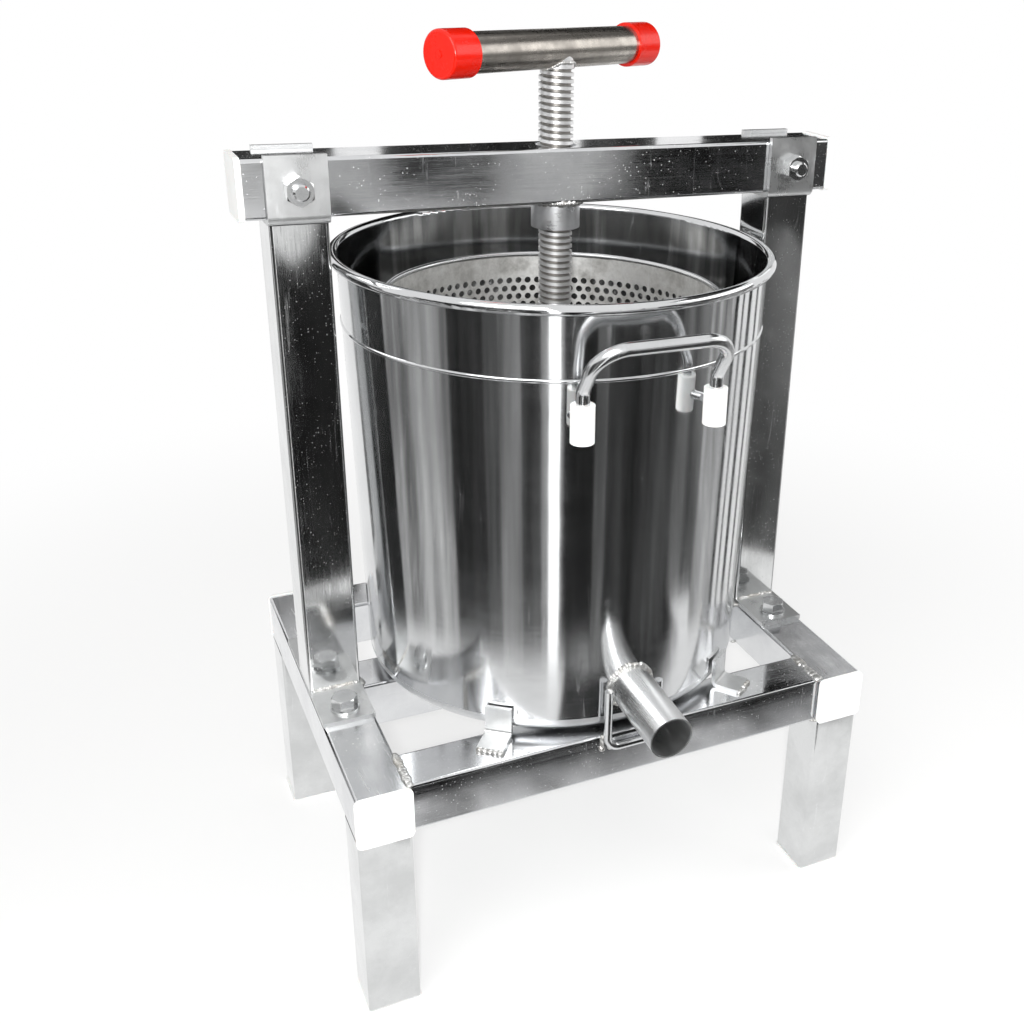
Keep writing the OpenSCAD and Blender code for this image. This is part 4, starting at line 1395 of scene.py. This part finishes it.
@dataclass
class Studio:
    """Floor, soft light, reflected screens and the camera at the photograph's angle.

    Attributes:
        eye: The camera's place.
        right: The camera's own direction to the right.
        up: Its direction upwards.
        back: Its direction backwards.
        lens: Focal length in millimetres, on a 36 mm sensor.
        shift: The lens's shift.
        ambient: Strength of the even light that matt surfaces get.
        cards: Upright cards round the press.
        sheets: Level sheets: x from and to, y from and to, height, colour.
    """

    eye: Point = (-0.4402, -1.0525, 0.943)
    right: Point = (0.89464, -0.44508, 0.03903)
    up: Point = (0.14793, 0.3775, 0.91412)
    back: Point = (-0.42159, -0.81204, 0.40356)
    lens: float = 42.728
    shift: tuple[float, float] = (-0.1367, -0.0309)
    ambient: float = 0.55
    cards: tuple[Card, ...] = (
        Card(NEAR_RING, 0.52, 18, 40, "#B8B8B8"),
        Card(NEAR_RING, 0.52, 52, 84, "#5A5A5A"),
        Card(NEAR_RING, 0.56, 133, 151, "#1C1C1C"),
        Card(NEAR_RING, 0.58, 161, 199, "#B4B4B4"),
        Card(NEAR_RING, 0.58, 199, 216, "#3A3A3A"),
        Card(NEAR_RING, 0.58, 216, 223, "#5A5A5A"),
        Card(NEAR_RING, 0.58, 223, 233, "#8C8C8C"),
        Card(NEAR_RING, 0.58, 233, 242, "#4A4A4A"),
        Card(NEAR_RING, 0.58, 242, 245.5, "#9A9A9A"),
        Card(NEAR_RING, 0.9, 245.5, 250.5, "#FFFFFF", glow=2.2),
        Card(NEAR_RING, 0.58, 250.5, 254, "#8A8A8A"),
        Card(0.61, 0.585, 252, 266, "#262626", low=0.06),
        Card(NEAR_RING, 0.54, 266, 272, "#6E6E6E"),
        Card(NEAR_RING, 0.54, 272, 294, "#404040"),
        Card(NEAR_RING, 0.56, 294, 308, "#505050"),
        Card(NEAR_RING, 0.56, 308, 326, "#707070", low=0.06),
        Card(NEAR_RING, 0.56, 326, 344, "#A8A8A8"),
        Card(NEAR_RING, 0.56, 344, 347, "#202020"),
        Card(NEAR_RING, 0.56, 351, 353, "#303030"),
        Card(NEAR_RING, 0.56, 358, 362, "#202020"),
        Card(NEAR_RING, 0.56, 369, 372, "#303030"),
        Card(FAR_RING, 0.8, -100, -79.5, "#E0E0E0", low=0.2),
        Card(FAR_RING, 0.8, -79.5, -72, "#242424", low=0.2),
        Card(FAR_RING, 0.8, -72, -64, "#F4F4F4"),
        Card(FAR_RING, 0.8, -64, -54, "#1A1A1A"),
        Card(FAR_RING, 0.8, -54, -40, "#4A4A4A"),
        Card(FAR_RING, 0.8, -40, -26, "#3A3A3A"),
        Card(FAR_RING, 1.9, -26, 0, "#8A8A8A"),
        Card(FAR_RING, 1.7, 45, 58, "#303030"),
        Card(FAR_RING, 1.7, 61, 66, "#4A4A4A"),
        Card(FAR_RING, 1.7, 68, 79, "#303030"),
        Card(FAR_RING, 1.7, 82, 95, "#3A3A3A"),
        Card(FAR_RING, 0.8, 127, 160, "#585858"),
        Card(FAR_RING, 0.8, 180, 250, "#484848"),
    )
    sheets: tuple[tuple[float, float, float, float, float, str], ...] = (
        # Painted shade: the first sheet, near black, stands for the shadowed floor in front that
        # the front rail mirrors
        (-0.18, 0.52, -0.64, -0.465, 0.001, "#0C0C0C"),
        (-0.18, 0.52, -0.465, -0.41, 0.001, "#9A9A9A"),
        (0.4, 1.8, 0.45, 2.9, 1.9, "#1A1A1A"),
        (0.9, 3.2, -0.9, 0.45, 1.9, "#484848"),
    )

    def camera(self) -> None:
        """Sets the camera."""
        data = bpy.data.cameras.new("camera")
        data.sensor_width = 36.0
        data.lens = self.lens
        data.shift_x, data.shift_y = self.shift
        data.clip_start = 0.01
        camera = bpy.data.objects.new("camera", data)
        turn = Matrix((self.right, self.up, self.back)).transposed()
        camera.matrix_world = Matrix.Translation(self.eye) @ turn.to_4x4()
        bpy.context.scene.collection.objects.link(camera)
        bpy.context.scene.camera = camera

    def world(self) -> None:
        """Sets a soft even world, white where it is seen or mirrored."""
        world = bpy.data.worlds.new("studio")
        bpy.context.scene.world = world
        world.use_nodes = True
        tree = world.node_tree
        add = partial(add_node, tree)
        rays = add("ShaderNodeLightPath").node.outputs
        seen = add(
            "ShaderNodeMath",
            {0: rays["Is Camera Ray"], 1: rays["Is Glossy Ray"]},
            operation="MAXIMUM",
        )
        seen = add("ShaderNodeMath", {0: seen, 1: rays["Is Transmission Ray"]}, operation="MAXIMUM")
        light = add("ShaderNodeMapRange", {0: seen, 1: 0.0, 2: 1.0, 3: self.ambient, 4: 1.0})
        sky = tree.nodes["Background"]
        sky.inputs["Color"].default_value = linear("#FFFFFF")
        tree.links.new(light, sky.inputs["Strength"])

    def floor(self) -> None:
        """Lays a pale floor that turns into the white backdrop with distance."""
        sides = 96
        points: list[Point] = [(0.0, 0.0, 0.0)]
        faces: list[tuple[int, ...]] = []
        for ring, radius in enumerate((0.5, 1.5, 4.0, 14.0)):
            points += [
                (
                    radius * math.cos(2 * math.pi * i / sides),
                    radius * math.sin(2 * math.pi * i / sides),
                    0.0,
                )
                for i in range(sides)
            ]
            for i in range(sides):
                j = (i + 1) % sides
                low = 1 + (ring - 1) * sides
                high = 1 + ring * sides
                faces.append(
                    (0, high + i, high + j) if ring == 0 else (low + i, high + i, high + j, low + j)
                )
        floor = mesh_object("studio_floor", points, faces)
        paint = bpy.data.materials.new("matt white studio floor")
        paint.use_nodes = True
        tree = paint.node_tree
        add = partial(add_node, tree)
        tree.nodes.remove(tree.nodes["Principled BSDF"])
        point = add("ShaderNodeTexCoord", out="Object")
        far = add("ShaderNodeVectorMath", {0: point}, operation="LENGTH", out="Value")
        matt = add("ShaderNodeBsdfDiffuse", {"Color": linear("#F7F7F6")})
        glow = add("ShaderNodeEmission", {"Color": linear("#FFFFFF"), "Strength": 1.0})
        rays = add("ShaderNodeLightPath").node.outputs
        # Lit by the lamps close in, its own white further out
        near = add(
            "ShaderNodeMapRange",
            {0: far, 1: 0.55, 2: 1.5, 3: 0.5, 4: 1.0},
            interpolation_type="SMOOTHSTEP",
        )
        mirrored = add("ShaderNodeMath", {0: near, 1: 0.85}, operation="MAXIMUM")
        share = add("ShaderNodeMath", {0: near, 1: rays["Is Camera Ray"]}, operation="MULTIPLY")
        share = add(
            "ShaderNodeMath",
            {0: mirrored, 1: rays["Is Glossy Ray"], 2: share},
            operation="MULTIPLY_ADD",
        )
        mixed = add("ShaderNodeMixShader", {0: share, 1: matt, 2: glow})
        tree.links.new(mixed, tree.nodes["Material Output"].inputs["Surface"])
        floor.data.materials.append(paint)

    def cloth(self, colour: str, glow: float, fine: float) -> bpy.types.Material:
        """Makes a flat matt cloth painted with the shade of hanging folds, or a strip light's
        front.

        Args:
            colour: The cloth's colour.
            glow: Strength of its own light.
            fine: Scale of the small painted light gaps, coarser on cards that stand far off.

        Returns:
            The material.
        """
        material = bpy.data.materials.new(f"studio cloth {colour}")
        material.use_nodes = True
        tree = material.node_tree
        add = partial(add_node, tree)
        tree.nodes.remove(tree.nodes["Principled BSDF"])
        point = add("ShaderNodeTexCoord", out="Object")
        # Painted shade and light: stretched upright noise stands for the folds' shading on the flat
        # card
        hung = add("ShaderNodeMapping", {"Vector": point, "Scale": (1.0, 1.0, 0.12)})
        folds = add(
            "ShaderNodeTexNoise", {"Vector": hung, "Scale": 14.0, "Detail": 4.0, "Roughness": 0.6}
        )
        fold = add("ShaderNodeMapRange", {0: folds, 1: 0.35, 2: 0.65, 3: 0.0, 4: 1.0})
        # Painted light in small gaps, finer than the painted folds
        specks = add(
            "ShaderNodeTexNoise", {"Vector": point, "Scale": fine, "Detail": 6.0, "Roughness": 0.75}
        )
        gaps = add("ShaderNodeMapRange", {0: specks, 1: 0.52, 2: 0.66, 3: 0.0, 4: 0.55})
        fold = add("ShaderNodeMath", {0: fold, 1: gaps}, operation="ADD")
        light = linear(colour)
        shade = add(
            "ShaderNodeMix",
            {
                0: fold,
                6: tuple(c * 0.35 for c in light[:3]) + (1.0,),
                7: tuple(min(1.0, c * 1.5) for c in light[:3]) + (1.0,),
            },
            data_type="RGBA",
            clamp_factor=False,
            out=2,
        )
        if glow:
            face = add("ShaderNodeEmission", {"Color": light, "Strength": glow})
        else:
            face = add("ShaderNodeBsdfDiffuse", {"Color": shade})
        tree.links.new(face, tree.nodes["Material Output"].inputs["Surface"])
        return material

    def reflectors(self) -> None:
        """Stands the cards and lays the sheets, seen only as reflections in the steel."""
        shown = [
            (card.build(i), self.cloth(card.colour, card.glow, 30 / card.radius))
            for i, card in enumerate(self.cards)
        ]
        for i, (left, right, near, far, z, colour) in enumerate(self.sheets):
            corners = [(left, near, z), (right, near, z), (right, far, z), (left, far, z)]
            shown.append(
                (
                    mesh_object(f"studio_sheet_{i}", corners, [(0, 1, 2, 3)]),
                    self.cloth(colour, 0.0, 20.0),
                )
            )
        for card, cloth in shown:
            card.data.materials.append(cloth)
            card.visible_camera = False
            card.visible_diffuse = False
            card.visible_shadow = False
            card.visible_transmission = False

    def lamps(self) -> None:
        """Hangs two large soft lamps and one small one near the camera."""
        middle = Vector((0.0, 0.0, 0.45))
        for name, place, size, power in (
            ("key", (-1.4, -1.2, 2.2), 1.6, 26.0),
            ("fill", (1.8, -0.6, 1.6), 1.8, 14.0),
            ("flash", (-0.5, -1.15, 1.02), 0.07, 12.0),
        ):
            data = bpy.data.lights.new(name, "AREA")
            data.shape = "DISK"
            data.size = size
            data.energy = power
            data.diffuse_factor = 0.15 if name == "flash" else 1.0
            lamp = bpy.data.objects.new(name, data)
            lamp.location = place
            aim = middle - Vector(place)
            lamp.rotation_euler = aim.to_track_quat("-Z", "Y").to_euler()
            bpy.context.scene.collection.objects.link(lamp)

    def build(self) -> None:
        """Sets up the whole studio."""
        bpy.context.scene.view_settings.view_transform = "Standard"
        self.camera()
        self.world()
        self.floor()
        self.reflectors()
        self.lamps()


def main() -> None:
    """Builds the press's looks in order and reports each piece."""
    logging.basicConfig(level=logging.INFO, format="%(name)s: %(message)s")
    finishes = Finishes()
    studio = Studio()
    studio.build()
    LOG.info("studio ready")

    welds = weld_rule()
    stand = Stand()
    stand.dress(finishes)
    pieces = stand.welds(welds, finishes.get("weld"))
    tank = Tank()
    tank.dress(finishes)
    pieces.append(tank.welds(welds, finishes.get("weld")))
    pieces += Basket().build(perforation_rule(), finishes)
    pieces.append(Press().build(welds, finishes))
    pieces += Spindle().build(thread_rule(), welds, finishes)
    for piece in pieces:
        LOG.info("%s: %d faces", piece.name, len(piece.data.polygons))


if __name__ == "__main__":
    main()
